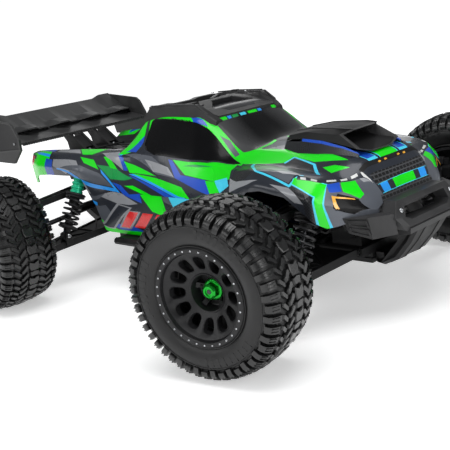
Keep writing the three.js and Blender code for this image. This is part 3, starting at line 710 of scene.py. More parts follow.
# ---- Body shell -------------------------------------------------------------------------
# Sections from the tail to the nose: x, the height at the centre, then (y, z) of the top
# edge, the shoulder, the belt, the widest line and the lower edge. A place on the shell is
# (x, s), where s counts these lines outwards from 0 at the centre to 5 at the lower edge.
SECTIONS = [
    (-325, 166, (58, 168), (80, 182), (92, 180), (98, 165), (95, 134)),
    (-290, 166, (58, 168), (82, 184), (98, 182), (108, 165), (104, 138)),
    (-215, 166, (56, 168), (82, 186), (100, 183), (112, 165), (110, 120)),
    (-150, 166, (56, 168), (82, 187), (100, 182), (110, 150), (94, 70)),
    (-103, 170, (56, 172), (81, 188), (99, 182), (108, 140), (93, 70)),
    (-82, 203, (55, 203), (75, 203), (97, 180), (106, 135), (92, 70)),
    (-60, 227, (55, 226), (70, 221), (95, 182), (106, 135), (92, 70)),
    (-20, 233, (56, 232), (71, 224), (94, 184), (106, 135), (93, 70)),
    (35, 232, (56, 231), (70, 222), (92, 178), (107, 135), (94, 71)),
    (55, 222, (54, 221), (67, 214), (92, 175), (108, 135), (95, 72)),
    (115, 186, (54, 184), (76, 174), (98, 168), (113, 142), (98, 74)),
    (150, 184, (50, 182), (78, 172), (105, 172), (119, 152), (105, 78)),
    (175, 182, (50, 180), (80, 171), (109, 173), (122, 158), (112, 100)),
    (215, 181, (50, 179), (80, 168), (107, 170), (122, 154), (122, 110)),
    (245, 177.5, (48, 176.5), (78, 163), (104, 163), (121, 148), (121, 114)),
    (261, 173.5, (46, 172), (68, 157), (89, 153), (106, 138), (104, 114)),
    (272, 163, (45, 161), (58, 152), (75, 147), (90, 133), (88, 116)),
    (282, 145, (44, 144), (52, 141), (61, 137), (72, 128), (70, 119)),
    (287, 130, (40, 130), (46, 129), (52, 127), (58, 124), (56, 120)),
]
TAIL, NOSE = SECTIONS[0][0], SECTIONS[-1][0]


def smooth_line(xs, ys, x):
    """A monotone cubic through the points."""
    i = 0
    while i < len(xs) - 2 and x > xs[i + 1]:
        i += 1
    h = [b - a for a, b in zip(xs, xs[1:])]
    d = [(b - a) / w for a, b, w in zip(ys, ys[1:], h)]

    def slope(k):
        if k in (0, len(xs) - 1):
            return d[min(k, len(d) - 1)]
        return 0.0 if d[k - 1] * d[k] <= 0 else 2 * d[k - 1] * d[k] / (d[k - 1] + d[k])

    t = (x - xs[i]) / h[i]
    a, b = slope(i) * h[i], slope(i + 1) * h[i]
    return (ys[i] * (1 + 2 * t) * (1 - t) ** 2 + a * t * (1 - t) ** 2
            + ys[i + 1] * t * t * (3 - 2 * t) + b * t * t * (t - 1))


# roughly how far apart the lines s = 0, 1, 2 ... lie on the shell
LINE_GAP = 30
LINES = {}


def key_lines(x):
    x = round(x, 3)
    if x not in LINES:
        xs = [row[0] for row in SECTIONS]
        rows = [(0.0, smooth_line(xs, [row[1] for row in SECTIONS], x))]
        for j in range(2, 7):
            rows.append(tuple(smooth_line(xs, [row[j][k] for row in SECTIONS], x) for k in (0, 1)))
        LINES[x] = rows
    return LINES[x]


def on_shell(x, s):
    """The point (y, z) of the shell, its corners rounded a little. s below 0 is the left side."""
    k = key_lines(min(max(x, TAIL), NOSE))
    y = z = 0.0
    for o in (-0.1, -0.05, 0, 0.05, 0.1):
        t = abs(s) + o
        sign = -1 if t < 0 else 1
        t = abs(t)
        i = min(4, int(t))
        f = t - i
        y += sign * (k[i][0] + (k[i + 1][0] - k[i][0]) * f) / 5
        z += (k[i][1] + (k[i + 1][1] - k[i][1]) * f) / 5
    return (-y if s >= 0 else y), z


FRONT_ARCH = [(112, 40), (118, 100), (135, 133), (158, 150), (180, 153), (216, 148), (242, 130),
              (258, 114), (258, 40)]
REAR_ARCH = [(-318, 40), (-318, 122), (-313, 144), (-300, 149), (-262, 152), (-204, 153), (-178, 148),
             (-165, 110), (-160, 70), (-160, 40)]


def cut_inside(bm, faces, outline, across="xy"):
    """Splits the faces along a convex outline and returns those inside it."""
    area = sum(x0 * y1 - x1 * y0 for (x0, y0), (x1, y1) in zip(outline, outline[1:] + outline[:1]))
    if area < 0:
        outline = outline[::-1]
    k = (0, 1) if across == "xy" else (0, 2)
    faces = list(faces)
    for p, q in zip(outline, outline[1:] + outline[:1]):
        co, no = Vector((0, 0, 0)), Vector((0, 0, 0))
        co[k[0]], co[k[1]] = p
        no[k[0]], no[k[1]] = q[1] - p[1], p[0] - q[0]
        if no.length < 1e-6 or not faces:
            continue
        no.normalize()
        edges = {e for f in faces for e in f.edges}
        verts = {v for f in faces for v in f.verts}
        made = bmesh.ops.bisect_plane(bm, geom=list(faces) + list(edges) + list(verts),
                                      plane_co=co, plane_no=no, dist=1e-4)
        found = [g for g in made["geom"] if isinstance(g, bmesh.types.BMFace)]
        faces = [f for f in found if (f.calc_center_median() - co).dot(no) < 0]
    return faces


def nearby(bm, shape):
    """The faces of the flat sheet whose boxes touch the outline's box."""
    low, high = min(x for x, _ in shape), max(x for x, _ in shape)
    s_low, s_high = min(s for _, s in shape), max(s for _, s in shape)
    return [f for f in bm.faces
            if max(v.co.x for v in f.verts) > low and min(v.co.x for v in f.verts) < high
            and max(v.co.y for v in f.verts) > s_low and min(v.co.y for v in f.verts) < s_high]


def convex_parts(outline):
    """The outline itself if it is convex, and otherwise its triangles."""
    ways = set()
    for (ax, ay), (bx, by), (cx, cy) in zip(outline, outline[1:] + outline[:1], outline[2:] + outline[:2]):
        turn = (bx - ax) * (cy - by) - (by - ay) * (cx - bx)
        if abs(turn) > 1e-8:
            ways.add(turn > 0)
    if len(ways) < 2:
        return [outline]
    flat = [Vector((x, s * LINE_GAP, 0)) for x, s in outline]
    return [[outline[i] for i in tri] for tri in tessellate_polygon([flat])]


def flat_sheet():
    """The shell before it is bent: x along, s across, finer towards the nose and the corners."""
    bm = bmesh.new()
    xs = []
    x = TAIL
    while x < NOSE - 0.01:
        xs.append(x)
        x += 2.0 if x >= 250 else 4.5
    xs.append(NOSE)
    per = (7, 4, 4, 5, 7)
    ss = [i + j / n for i, n in enumerate(per) for j in range(n)] + [5.0]
    ss = [-s for s in reversed(ss[1:])] + ss
    grid = [[bm.verts.new((x, s, 0)) for s in ss] for x in xs]
    for a, b in zip(grid, grid[1:]):
        for i in range(len(ss) - 1):
            bm.faces.new((a[i], b[i], b[i + 1], a[i + 1]))
    return bm


def paint_livery(bm, slot):
    for f in bm.faces:
        f.material_index = slot("slate")
    for name, outline in LIVERY:
        both = min(s for _, s in outline) >= 0
        for side in (1, -1) if both else (1,):
            shape = [(x, s * side) for x, s in outline]
            near = nearby(bm, shape)
            for part in convex_parts(shape):
                for f in cut_inside(bm, [f for f in near if f.is_valid], part):
                    f.material_index = slot(name)
                near = nearby(bm, shape)
    bmesh.ops.dissolve_degenerate(bm, edges=bm.edges, dist=0.002)


def bend_sheet(bm):
    for v in bm.verts:
        x = v.co.x
        v.co.y, v.co.z = on_shell(x, v.co.y)


def cut_arches(bm):
    for arch in (FRONT_ARCH, REAR_ARCH):
        near = [f for f in bm.faces if abs(f.calc_center_median().y) > 60
                and arch[0][0] - 8 < f.calc_center_median().x < max(p[0] for p in arch) + 8]
        bmesh.ops.delete(bm, geom=cut_inside(bm, near, arch, "xz"), context="FACES")


def sink_windows(bm, window):
    """Insets the windows a little and keeps their borders sharp."""
    glass = [f for f in bm.faces if f.material_index == window]
    bmesh.ops.inset_region(bm, faces=glass, thickness=0.5, depth=-0.6)
    for v in bm.verts:
        v.co = at(*v.co)
    sharpen(bm, 30)
    for f in bm.faces:
        for e in f.edges:
            other = [g for g in e.link_faces if g is not f]
            if other and (other[0].material_index == window) != (f.material_index == window):
                e.smooth = False


def make_shell():
    names = []

    def slot(name):
        if name not in names:
            names.append(name)
        return names.index(name)

    bm = flat_sheet()
    paint_livery(bm, slot)
    bend_sheet(bm)
    cut_arches(bm)
    bmesh.ops.recalc_face_normals(bm, faces=bm.faces)
    top = max(bm.faces, key=lambda f: f.calc_center_median().z)
    if top.normal.z < 0:
        bmesh.ops.reverse_faces(bm, faces=bm.faces)
    sink_windows(bm, slot("window"))
    mesh = bpy.data.meshes.new("body_shell_looks")
    bm.to_mesh(mesh)
    bm.free()
    for name in names + ["inside"]:
        mesh.materials.append(M[name])
    o = add_object("body_shell_looks", mesh)
    m = o.modifiers.new("wall", "SOLIDIFY")
    m.thickness = 1.6 * MM
    m.offset = -1
    m.material_offset = len(names)
    m.material_offset_rim = 0
    place(o, "body_cover", "paint", ("body_shell",))


# The livery, from the bottom layer up: a colour and an outline in (x, s). Outlines with every
# s above 0 are painted on both sides.
LIVERY = [
    # the deck behind the cab
    ("carbon", [(-325, 0.0), (-92, 0.0), (-100, 1.9), (-325, 1.9)]),
    ("inside", [(-318, 0.0), (-112, 0.0), (-112, 1.1), (-318, 1.1)]),
    # tail
    ("green", [(-325, 1.5), (-282, 1.6), (-262, 3.0), (-262, 5.0), (-325, 5.0)]),
    ("blue", [(-300, 1.7), (-262, 2.3), (-262, 2.7), (-302, 2.4)]),
    ("azure", [(-325, 2.6), (-290, 2.9), (-262, 3.1), (-262, 3.3), (-300, 3.1)]),
    ("slate", [(-325, 3.1), (-306, 3.2), (-306, 3.5), (-325, 3.5)]),
    ("red", [(-325, 3.2), (-314, 3.3), (-314, 4.0), (-325, 4.1)]),
    ("blue", [(-272, 3.4), (-252, 3.5), (-240, 5.0), (-268, 5.0)]),
    # rear quarter
    ("silver", [(-256, 2.2), (-204, 2.2), (-184, 2.9), (-252, 2.7)]),
    ("slate", [(-254, 2.85), (-184, 3.05), (-180, 3.5), (-250, 3.4)]),
    ("silver", [(-250, 3.45), (-190, 3.4), (-180, 3.8), (-212, 4.2), (-246, 3.95)]),
    ("azure", [(-236, 4.08), (-180, 4.22), (-96, 4.08), (-134, 3.52), (-132, 3.66), (-106, 4.02),
               (-182, 4.14), (-232, 4.02)]),
    ("grey", [(-226, 4.0), (-180, 3.6), (-137, 3.68), (-108, 4.0), (-180, 4.12)]),
    ("silver", [(-206, 4.32), (-174, 4.18), (-166, 4.34), (-196, 4.5)]),
    ("green", [(-204, 2.1), (-138, 2.0), (-156, 2.95), (-178, 3.0)]),
    ("green", [(-182, 3.15), (-150, 3.2), (-138, 3.55), (-172, 3.42)]),
    ("emerald", [(-143, 3.38), (-108, 3.36), (-68, 3.62), (-112, 3.78)]),
    ("green", [(-128, 3.05), (-116, 3.05), (-98, 3.42), (-112, 3.42)]),
    ("silver", [(-138, 2.7), (-102, 2.5), (-87, 3.4), (-122, 3.05)]),
    ("azure", [(-98, 2.6), (-84, 2.75), (-92, 2.95), (-100, 2.85)]),
    ("blue", [(-97, 2.95), (-88, 3.0), (-78, 3.4), (-86, 3.4)]),
    # door
    ("grey", [(-90, 2.85), (-30, 3.05), (16, 3.55), (-20, 3.5), (-44, 3.25)]),
    ("silver", [(-44, 3.12), (2, 3.3), (14, 3.52), (-26, 3.44)]),
    ("green", [(-86, 3.12), (-20, 3.55), (-74, 3.46)]),
    ("azure", [(-76, 3.5), (-64, 3.5), (42, 4.06), (22, 4.06)]),
    ("blue", [(-76, 3.55), (-70, 3.56), (28, 4.1), (6, 4.1)]),
    ("green", [(-70, 3.48), (-20, 3.6), (30, 3.76), (46, 4.04), (24, 4.0)]),
    ("slate", [(-18, 3.56), (26, 3.56), (88, 3.9), (47, 4.04), (30, 3.76)]),
    ("blue", [(2, 3.1), (9, 3.1), (26, 3.44), (72, 3.46), (102, 3.9), (82, 3.9), (16, 3.54)]),
    ("green", [(10, 3.09), (37, 3.06), (70, 2.95), (99, 2.63), (114, 2.36), (117, 3.34), (92, 3.46),
               (34, 3.42)]),
    ("emerald", [(28, 3.2), (50, 3.08), (84, 3.0), (56, 3.14)]),
    ("cyan", [(90, 3.44), (112, 3.28), (119, 3.62), (104, 3.9)]),
    ("green", [(72, 3.48), (90, 3.46), (106, 3.9), (96, 4.2)]),
    # low door row
    ("silver", [(-150, 4.3), (-112, 4.12), (-92, 4.08), (-66, 4.26), (-110, 4.36)]),
    ("blue", [(-108, 3.86), (-92, 3.86), (-76, 4.08), (-90, 4.08)]),
    ("green", [(-86, 3.84), (-68, 3.82), (-30, 4.04), (-46, 4.04)]),
    ("blue", [(-92, 4.08), (-54, 4.02), (-56, 4.24)]),
    ("green", [(-54, 4.04), (-10, 4.04), (-10, 4.5), (-40, 4.4)]),
    ("grey", [(-10, 4.04), (6, 4.04), (12, 4.24), (-8, 4.16)]),
    ("cyan", [(4, 4.04), (46, 4.04), (10, 4.4)]),
    ("slate", [(12, 4.3), (60, 4.05), (96, 4.4), (100, 5.0), (30, 5.0)]),
    ("grey", [(-193, 4.52), (-130, 4.2), (-150, 4.36), (-181, 4.56)]),
    ("azure", [(-190, 4.56), (-186, 4.52), (-158, 4.46), (-160, 4.54)]),
    ("grey", [(-183, 4.62), (-140, 4.46), (-120, 4.86), (-176, 4.9)]),
    ("green", [(-182, 4.84), (-166, 4.8), (-130, 4.93), (-60, 4.9), (10, 4.9), (10, 5.0), (-182, 5.0)]),
    ("blue", [(-150, 4.84), (-100, 4.78), (-70, 4.9), (-120, 4.93)]),
    # a slanted badge of plain bars
    ("silver", [(-168, 4.93), (-112, 4.36), (-82, 4.36), (-138, 4.93)]),
    ("slate", [(-162, 4.91), (-109, 4.385), (-88, 4.385), (-141, 4.91)]),
    ("silver", [(-126, 4.88), (-92, 4.44), (-66, 4.44), (-100, 4.88)]),
    # the red bars shine with a painted glow
    ("red", [(-121, 4.86), (-90, 4.46), (-72, 4.46), (-103, 4.86)]),
    ("red", [(-92, 4.82), (-62, 4.46), (-40, 4.46), (-70, 4.82)]),
    ("red", [(-58, 4.8), (-32, 4.46), (-18, 4.46), (-44, 4.8)]),
    # cab: roof edge, pillars
    ("carbon", [(-98, 0.0), (56, 0.0), (56, 1.2), (-98, 1.2)]),
    ("green", [(-98, 1.1), (-60, 1.1), (34, 1.2), (57, 1.1), (118, 1.2), (122, 2.4), (40, 2.4), (-98, 2.9)]),
    ("grey", [(-98, 1.1), (-72, 1.1), (-66, 1.7), (-98, 2.2)]),
    ("blue", [(24, 1.7), (44, 1.7), (54, 2.0), (34, 2.1)]),
    ("grey", [(72, 1.9), (84, 1.5), (104, 1.7), (102, 2.0)]),
    ("blue", [(-86, 2.74), (-66, 2.6), (-54, 2.4), (-54, 2.66), (-64, 2.9)]),
    ("slate", [(-60, 1.78), (-56, 1.72), (-42, 2.9), (-50, 3.0), (-60, 2.9), (-54, 2.6)]),
    ("window", [(-48, 1.86), (-40, 1.84), (4, 1.96), (38, 2.04), (112, 2.14), (117, 2.26), (99, 2.56),
                (70, 2.88), (37, 3.0), (4, 3.04), (-26, 3.02), (-44, 2.86), (-50, 2.7)]),
    ("screen", [(58, 0.0), (58, 1.3), (61, 1.42), (104, 1.46), (110, 1.42), (115, 1.06), (112, 0.62),
                (108, 0.24), (107, 0.0)]),
    # hood
    ("slate", [(120, 0.0), (262, 0.0), (262, 2.2), (124, 2.2)]),
    ("green", [(106, 1.45), (118, 0.9), (140, 0.72), (172, 0.6), (226, 0.95), (250, 1.14), (214, 1.5),
               (182, 1.32), (176, 1.75), (124, 2.2), (114, 2.2)]),
    ("green", [(116, 0.98), (113, 0.5), (108, 0.2), (112, 0.2), (118, 0.5), (120, 0.94)]),
    ("grey", [(122, 0.94), (120, 0.5), (114, 0.2), (140, 0.2), (160, 0.6), (146, 0.8)]),
    ("silver", [(126, 0.86), (152, 0.9), (154, 0.5), (140, 0.4)]),
    ("carbon", [(160, 0.3), (240, 0.3), (252, 0.86), (252, 1.04), (219, 0.92), (172, 0.62)]),
    ("cyan", [(250, 0.84), (269.5, 0.78), (269.5, 0.42), (250, 0.42)]),
    ("blue", [(236, 0.78), (262, 0.78), (262, 0.48), (236, 0.48)]),
    ("carbon", [(250, 0.48), (269.5, 0.44), (269.5, 0.36), (250, 0.38)]),
    ("cyan", [(248, 0.0), (248, 0.38), (269.5, 0.37), (270.5, 0.0)]),
    ("green", [(248, 0.0), (248, 0.35), (268.6, 0.345), (269.4, 0.0)]),
    ("cyan", [(176, 1.75), (180, 1.28), (218, 1.6), (238, 2.25), (234, 2.3), (216, 1.68), (182, 1.36),
              (179, 1.8)]),
    ("carbon", [(182, 1.38), (216, 1.7), (234, 2.3), (220, 2.6), (180, 1.9)]),
    ("green", [(230, 1.72), (240, 1.5), (256, 1.45), (244, 1.9)]),
    # fender
    ("slate", [(120, 2.2), (230, 2.3), (240, 3.0), (222, 3.5), (126, 3.7)]),
    ("carbon", [(122, 3.2), (130, 2.2), (138, 2.14), (166, 3.02), (150, 3.5), (122, 3.7)]),
    ("cyan", [(135, 2.1), (139, 2.1), (144, 2.4), (168, 3.0), (219, 3.56), (226, 2.8), (230, 2.84),
              (221, 3.7), (166, 3.1), (140, 2.46)]),
    ("grey", [(141, 2.2), (170, 2.2), (222, 2.8), (218, 3.5), (168, 2.96), (144, 2.36)]),
    ("silver", [(166, 2.5), (198, 2.42), (228, 2.86), (206, 3.06), (184, 2.7)]),
    ("silver", [(118, 3.3), (134, 3.5), (176, 3.6), (160, 3.8), (124, 3.9)]),
    ("silver", [(194, 3.74), (220, 3.72), (246, 4.2), (230, 4.22)]),
    ("carbon", [(220, 3.66), (250, 3.5), (258, 4.9), (246, 5.0), (241, 4.2)]),
    ("cyan", [(221, 3.2), (247, 2.96), (256, 2.9), (262, 5.0), (252, 5.0), (250, 3.8), (221, 3.54)]),
    ("green", [(222, 3.16), (246, 3.0), (254, 2.98), (260, 5.0), (254, 5.0), (251, 3.74), (222, 3.48)]),
    # headlight strip and the corner pod
    ("grey", [(254, 2.9), (266, 1.6), (287, 1.2), (287, 5.0), (262, 5.0)]),
    ("silver", [(268, 1.4), (277, 1.5), (272, 2.0), (266, 1.8)]),
    ("blue", [(254, 2.98), (258, 2.46), (265, 3.16), (258, 3.34)]),
    ("green", [(259, 2.46), (266, 2.04), (278, 3.0), (277, 3.36), (266, 3.16)]),
    ("window", [(263, 3.3), (276, 3.4), (284, 4.0), (276, 4.5), (264, 4.1)]),
    ("amber", [(260, 3.46), (274, 3.44), (275, 3.5), (263, 3.56), (268, 4.1), (266, 4.16)]),
    ("slate", [(224, 2.96), (246, 2.74), (268, 1.34), (279, 1.5), (270, 1.72), (250, 3.0), (226, 3.22)]),
    ("white", [(228, 3.02), (234, 2.96), (236, 3.1), (230, 3.15)]),
    ("white", [(239, 2.9), (245, 2.84), (247, 2.98), (241, 3.04)]),
    ("white", [(250, 2.6), (254, 2.32), (256, 2.44), (252, 2.76)]),
    ("white", [(256, 2.2), (259, 1.98), (261, 2.12), (258, 2.34)]),
    ("white", [(261, 1.86), (264, 1.62), (266, 1.74), (263, 1.98)]),
    ("white", [(266, 1.5), (268, 1.38), (278, 1.52), (270, 1.66)]),
    # nose: dark band, grille and its bar
    ("soot", [(266, 0.0), (264, 1.44), (270, 1.44), (272, 0.0)]),
    ("slate", [(270, 0.0), (268, 1.44), (274, 1.5), (276, 0.0)]),
    ("mesh", [(275, 0.0), (273, 1.3), (281, 1.25), (281, 0.0)]),
    ("cyan", [(280.4, 0.0), (280.4, 1.1), (284.6, 1.1), (284.6, 0.0)]),
    ("slate", [(280.6, 0.0), (280.6, 1.1), (284.4, 1.1), (284.4, 0.0)]),
    ("azure", [(280.6, 0.66), (280.6, 0.96), (284.4, 0.96), (284.4, 0.66)]),
    ("green", [(280.6, 0.0), (280.6, 0.44), (284.4, 0.44), (284.4, 0.0)]),
    ("mesh", [(284.6, 0.0), (284.6, 1.8), (287, 2.4), (287, 0.0)]),
]


# ---- Roof frame and hood scoop ----------------------------------------------------------
def panel(b, front, back, inset, depth, floor=None):
    """A thick panel whose front is sunk inside a border. front is an outline, back the offset
    to its back, inset how far the sunk part is drawn in, as a share, and depth how deep it is."""
    front = [Vector(p) for p in front]
    back = Vector(back)
    mid = sum(front, Vector()) / len(front)
    rim = [p + (mid - p) * inset for p in front]
    down = [p + (mid - p) * (inset + 0.04) + back * depth for p in front]
    home = b.index
    b.skin([[p + back for p in front], front, rim, down], (True, floor is None))
    if floor:
        b.use(floor)
        b.face(b.ring(down))
        b.index = home


def roof_rail(b, s):
    """One side's rail, the raised line along it in paler plastic as a painted highlight, its step, and its
    braces to the middle.
    """
    rings = []
    for x, low, high, out in ((-80, 206, 214, 67), (-76, 210, 222, 66.5), (-57, 220, 238.5, 65.5),
                              (-20, 222, 240.5, 65.5), (30, 220, 239.5, 65.5), (54, 212, 224.5, 62.5),
                              (62, 208, 219, 60.5)):
        rings.append([(x, s * (out + y), z) for y, z in (
            (1.5, low), (-0.5, high - 1), (-2, high), (-11, high), (-13, high - 3), (-14, low + 2))])
    b.skin(rings)
    # the raised lines along the outer top edge take the paler bumper plastic: a painted highlight
    b.use("bumper")
    for x0, z0, x1, z1 in ((-56, 239.6, -24, 240.4), (-18, 240.6, 28, 239.6), (33, 238.5, 50, 226.8)):
        b.skin([[(x, s * y, z + dz) for x, z in ((x0, z0), (x1, z1))] +
                [(x, s * (y - 3), z + dz) for x, z in ((x1, z1), (x0, z0))]
                for y, dz in ((62.5, -0.5), (62.3, 1.2))])
    b.use("frame")
    b.box((-26, s * 59 - 3, 238), (-16, s * 59 + 3, 242.3))
    for x0, y0, x1, y1 in ((-54, 57, -34, 26), (-30, 57, -12, 30), (28, 57, 14, 34)):
        d = Vector((x1 - x0, s * (y1 - y0), 0)).normalized()
        n = Vector((-d.y, d.x, 0)) * 4
        down = Vector((0, 0, -4.5))
        b.skin([[p - n + down, p - n * 0.7, p + n * 0.7, p + n + down]
                for p in (Vector((x0, s * y0, 238)), Vector((x1, s * y1, 236.5)))])


def roof_front(b):
    """The front slopes down to the windscreen round a six-sided hatch, its hole darkened as painted shade."""
    outer = [(4, -32, 240), (4, 32, 240), (33, 56, 233), (57, 50, 223.5), (57, -50, 223.5), (33, -56, 233)]
    hole = [(13, -19, 239), (13, 19, 239), (32, 37, 232.5), (50, 25, 226.6), (50, -25, 226.6),
            (32, -37, 232.5)]
    shelf = [(14, -18, 238), (14, 18, 238), (32, 35, 231.5), (48.5, 24, 226.3), (48.5, -24, 226.3),
             (32, -35, 231.5)]
    deep = [(x - 1, y * 0.94, z - 9) for x, y, z in shelf]
    b.skin([[(x, y, z - 7) for x, y, z in outer], outer, hole, shelf], (True, False))
    # the hatch's walls and floor take the darker shell_inside plastic: painted shade in the hole
    b.use("inside")
    b.skin([shelf, deep], (False, False))
    b.face(b.ring(deep))


def make_roof_frame():
    b = Build("frame")
    for s in (-1, 1):
        roof_rail(b, s)
    # the two cross members, lower in their middle
    for x0, x1, low, high in ((-70, -57, 225, 238.5), (-16, -6, 228, 238.5)):
        ys = (-56, -50, -24, -16, 16, 24, 50, 56)
        lift = (0, 0, 0, -1.6, -1.6, 0, 0, 0)
        b.skin([[(x0, y, low), (x0 + 1.4, y, high + dz), (x1 - 1.4, y, high + dz), (x1, y, low)]
                for y, dz in zip(ys, lift)])
    roof_front(b)
    # ridges along the front slope's edges in the paler bumper plastic: a painted highlight
    b.use("bumper")
    for s in (-1, 1):
        b.skin([[(x, y - 3, z - 2), (x, y - 2, z + 1), (x, y + 2, z + 1), (x, y + 3, z - 2)]
                for x, y, z in ((8, s * 50, 239), (52, s * 57, 224.5))])
    b.use("steel")
    for s in (-1, 1):
        for x in (-63, 2):
            b.screw((x, s * 56, 239.2), (0, 0, 1), 2.0)
    b.done("roof_skid_looks", "body_cover", "black_plastic", ("roof_skid",), 0.6)


def make_roof_dashes():
    """Green and blue dashes under the roof frame, at the top of the windscreen."""
    for slot, y0, y1 in (("green", -50, -38), ("azure", -36, -30), ("emerald", -28, -18),
                         ("cyan", -14, -4), ("green", 0, 16), ("azure", 18, 24), ("green", 44, 58)):
        b = Build(slot)
        lo, hi = on_shell(55, 0.3)[1] - 0.4, on_shell(61, 0.3)[1] - 0.6
        b.skin([[(55, y0, lo + up), (55, y1, lo + up), (61, y1 - 2, hi + up), (61, y0 - 2, hi + up)]
                for up in (0, 1.1)])
        b.done("roof_dash", "body_cover", "paint")


def make_scoop():
    b = Build("soot")
    # at each station: foot, side and top of the left half
    stations = [(126, (10, 185), (8, 187.5), (6, 188.5)), (150, (33, 191), (29, 196), (14, 199)),
                (178, (38, 193.5), (33, 200.5), (20, 202.5)), (222, (38, 188.5), (34, 197), (24, 202.5))]
    rows = b.skin([mirrored([(x, y, z) for y, z in half]) for x, *half in stations], (True, False))
    # the mouth: the front outline leans back at the top and its corners sweep back
    front = mirrored([(257, 18, 176), (253, 38, 182), (227, 34, 197.5), (236, 22, 201.3)])
    lip = mirrored([(258, 17, 177.5), (255, 35, 182.5), (230, 30.5, 196.5), (238.5, 20, 200.4)])
    mouth = mirrored([(235, 11, 179), (234, 23, 181), (219, 26, 192.5), (231, 13, 198)])
    deep = [(198, y * 0.8, 184 + (z - 180) * 0.7) for _, y, z in mouth]
    back, outer = rows[-1], b.ring(front)
    for i in range(5):
        b.face((back[i], back[i + 1], outer[i + 2], outer[i + 1]))
    b.face((outer[1], outer[0], outer[7], outer[6], back[5], back[0]))
    # the mouth's ring is in the paler bumper plastic: painted light on its lit inner walls
    b.use("bumper")
    b.skin([front, lip, mouth], (False, False))
    b.use("inside")
    b.skin([mouth, deep], (False, True))
    # a raised edge down each side of the scoop
    b.use("bumper")
    for s in (-1, 1):
        edge = ((150, 14, 199), (178, 20, 202.5), (222, 24, 202.5), (237, 22, 201.3))
        profile = ((1.4, -0.4), (1.0, 0.9), (-1.4, 0.9), (-1.8, -0.3))
        for ends in zip(edge, edge[1:]):
            b.skin([[(x, s * (y + dy), z + dz) for dy, dz in profile] for x, y, z in ends])
    b.done("hood_scoop_looks", "body_cover", "black_plastic", ("hood_scoop",), 0.7)


def make_scoop_skirt():
    """The painted skirt the scoop stands on: a blue line above, woven pattern below."""
    top = ((126, 11, 184.5), (150, 34, 191), (178, 39, 193.5), (207, 39, 191), (237, 39, 184.5),
           (254, 39.5, 179))
    foot = ((126, 15, 182), (150, 42, 181), (178, 52, 177.5), (207, 53, 175.5), (237, 48, 174),
            (257, 43, 171.5))
    for slot, t0, t1, first, last in (("blue", -0.02, 0.16, 2, 6), ("carbon", 0.14, 1.0, 1, 6),
                                      ("grey", 0, 1.0, 0, 2)):
        b = Build(slot)
        for s in (-1, 1):
            rings = []
            for p, q in list(zip(top, foot))[first:last]:
                p, q = (Vector((v[0], s * v[1], v[2])) for v in (p, q))
                inward = Vector((0, -s * 1.6, -1.6))
                a, c = p.lerp(q, t0), p.lerp(q, t1)
                rings.append([a, c, c + inward, a + inward])
            b.skin(rings)
        b.done(f"scoop_skirt_{slot}", "body_cover", "paint")


def make_front_details():
    """Amber lamp marks along the hood's front edge, shining with a painted glow, and the chin under the
    grille.
    """
    b = Build("amber")
    for y in (-23, -12, 12, 23):
        z = on_shell(268, abs(y) / 45)[1]
        b.skin([[(x, y - w, z + up), (x, y + w, z + up), (x + 1.5, y + w - 0.2, z + up - 1.2),
                 (x + 1.5, y - w + 0.2, z + up - 1.2)] for x, w, up in ((267.5, 1.6, 0), (268.5, 1.3, 1))])
    b.done("marker_lamps", "body_cover", "paint")
    # the chin closes the nose under the grille
    b = Build("mesh")
    lower = [(NOSE, *on_shell(NOSE, s)) for s in range(5, -6, -1)]
    b.skin([lower, [(x - 1, y * 0.9, z - 5) for x, y, z in lower],
            [(x - 7, y * 0.8, 112) for x, y, z in lower]], (False, True), False)
    b.done("chin", "body_cover", "black_plastic")


# ---- Bumpers ----------------------------------------------------------------------------
def bumper_wing(b, s):
    """The hoop's side wing: two plates in line, and a sunk panel for each half of its height, its floor
    darkened as painted shade.
    """
    # its corners: inner, middle and outer, each at the top and at the bottom
    p = {k: Vector((x, s * y, z)) for k, (x, y, z) in {
        "it": (306, 58, 120), "ib": (308, 56, 98), "mt": (291, 82, 121), "mb": (292, 78, 97),
        "ot": (269, 95, 122), "ob": (269, 87, 104)}.items()}
    for a, c, d, e in (("it", "mt", "mb", "ib"), ("mt", "ot", "ob", "mb")):
        face = [p[a], p[c], p[d], p[e]]
        b.skin([face, [v + Vector((-12, -s * 8, 0)) for v in face]])
    out = (p["ot"] - p["mt"]).cross(Vector((0, 0, 1))).normalized()
    out = -out if out.x < 0 else out
    for low, high, wide in ((0.14, 0.46, 0.92), (0.56, 0.88, 0.86)):
        front = []
        for u, v in ((0.02, low), (wide, low + 0.04), (wide - 0.04, high - 0.02), (0.08, high)):
            top = p["mt"].lerp(p["ot"], u)
            bottom = p["mb"].lerp(p["ob"], u)
            front.append(bottom.lerp(top, v) + out * 2)
        # the sunk floors take the darker shell_inside plastic: painted shade in the recesses
        panel(b, front, -out * 6, 0.2, 0.9, "inside")


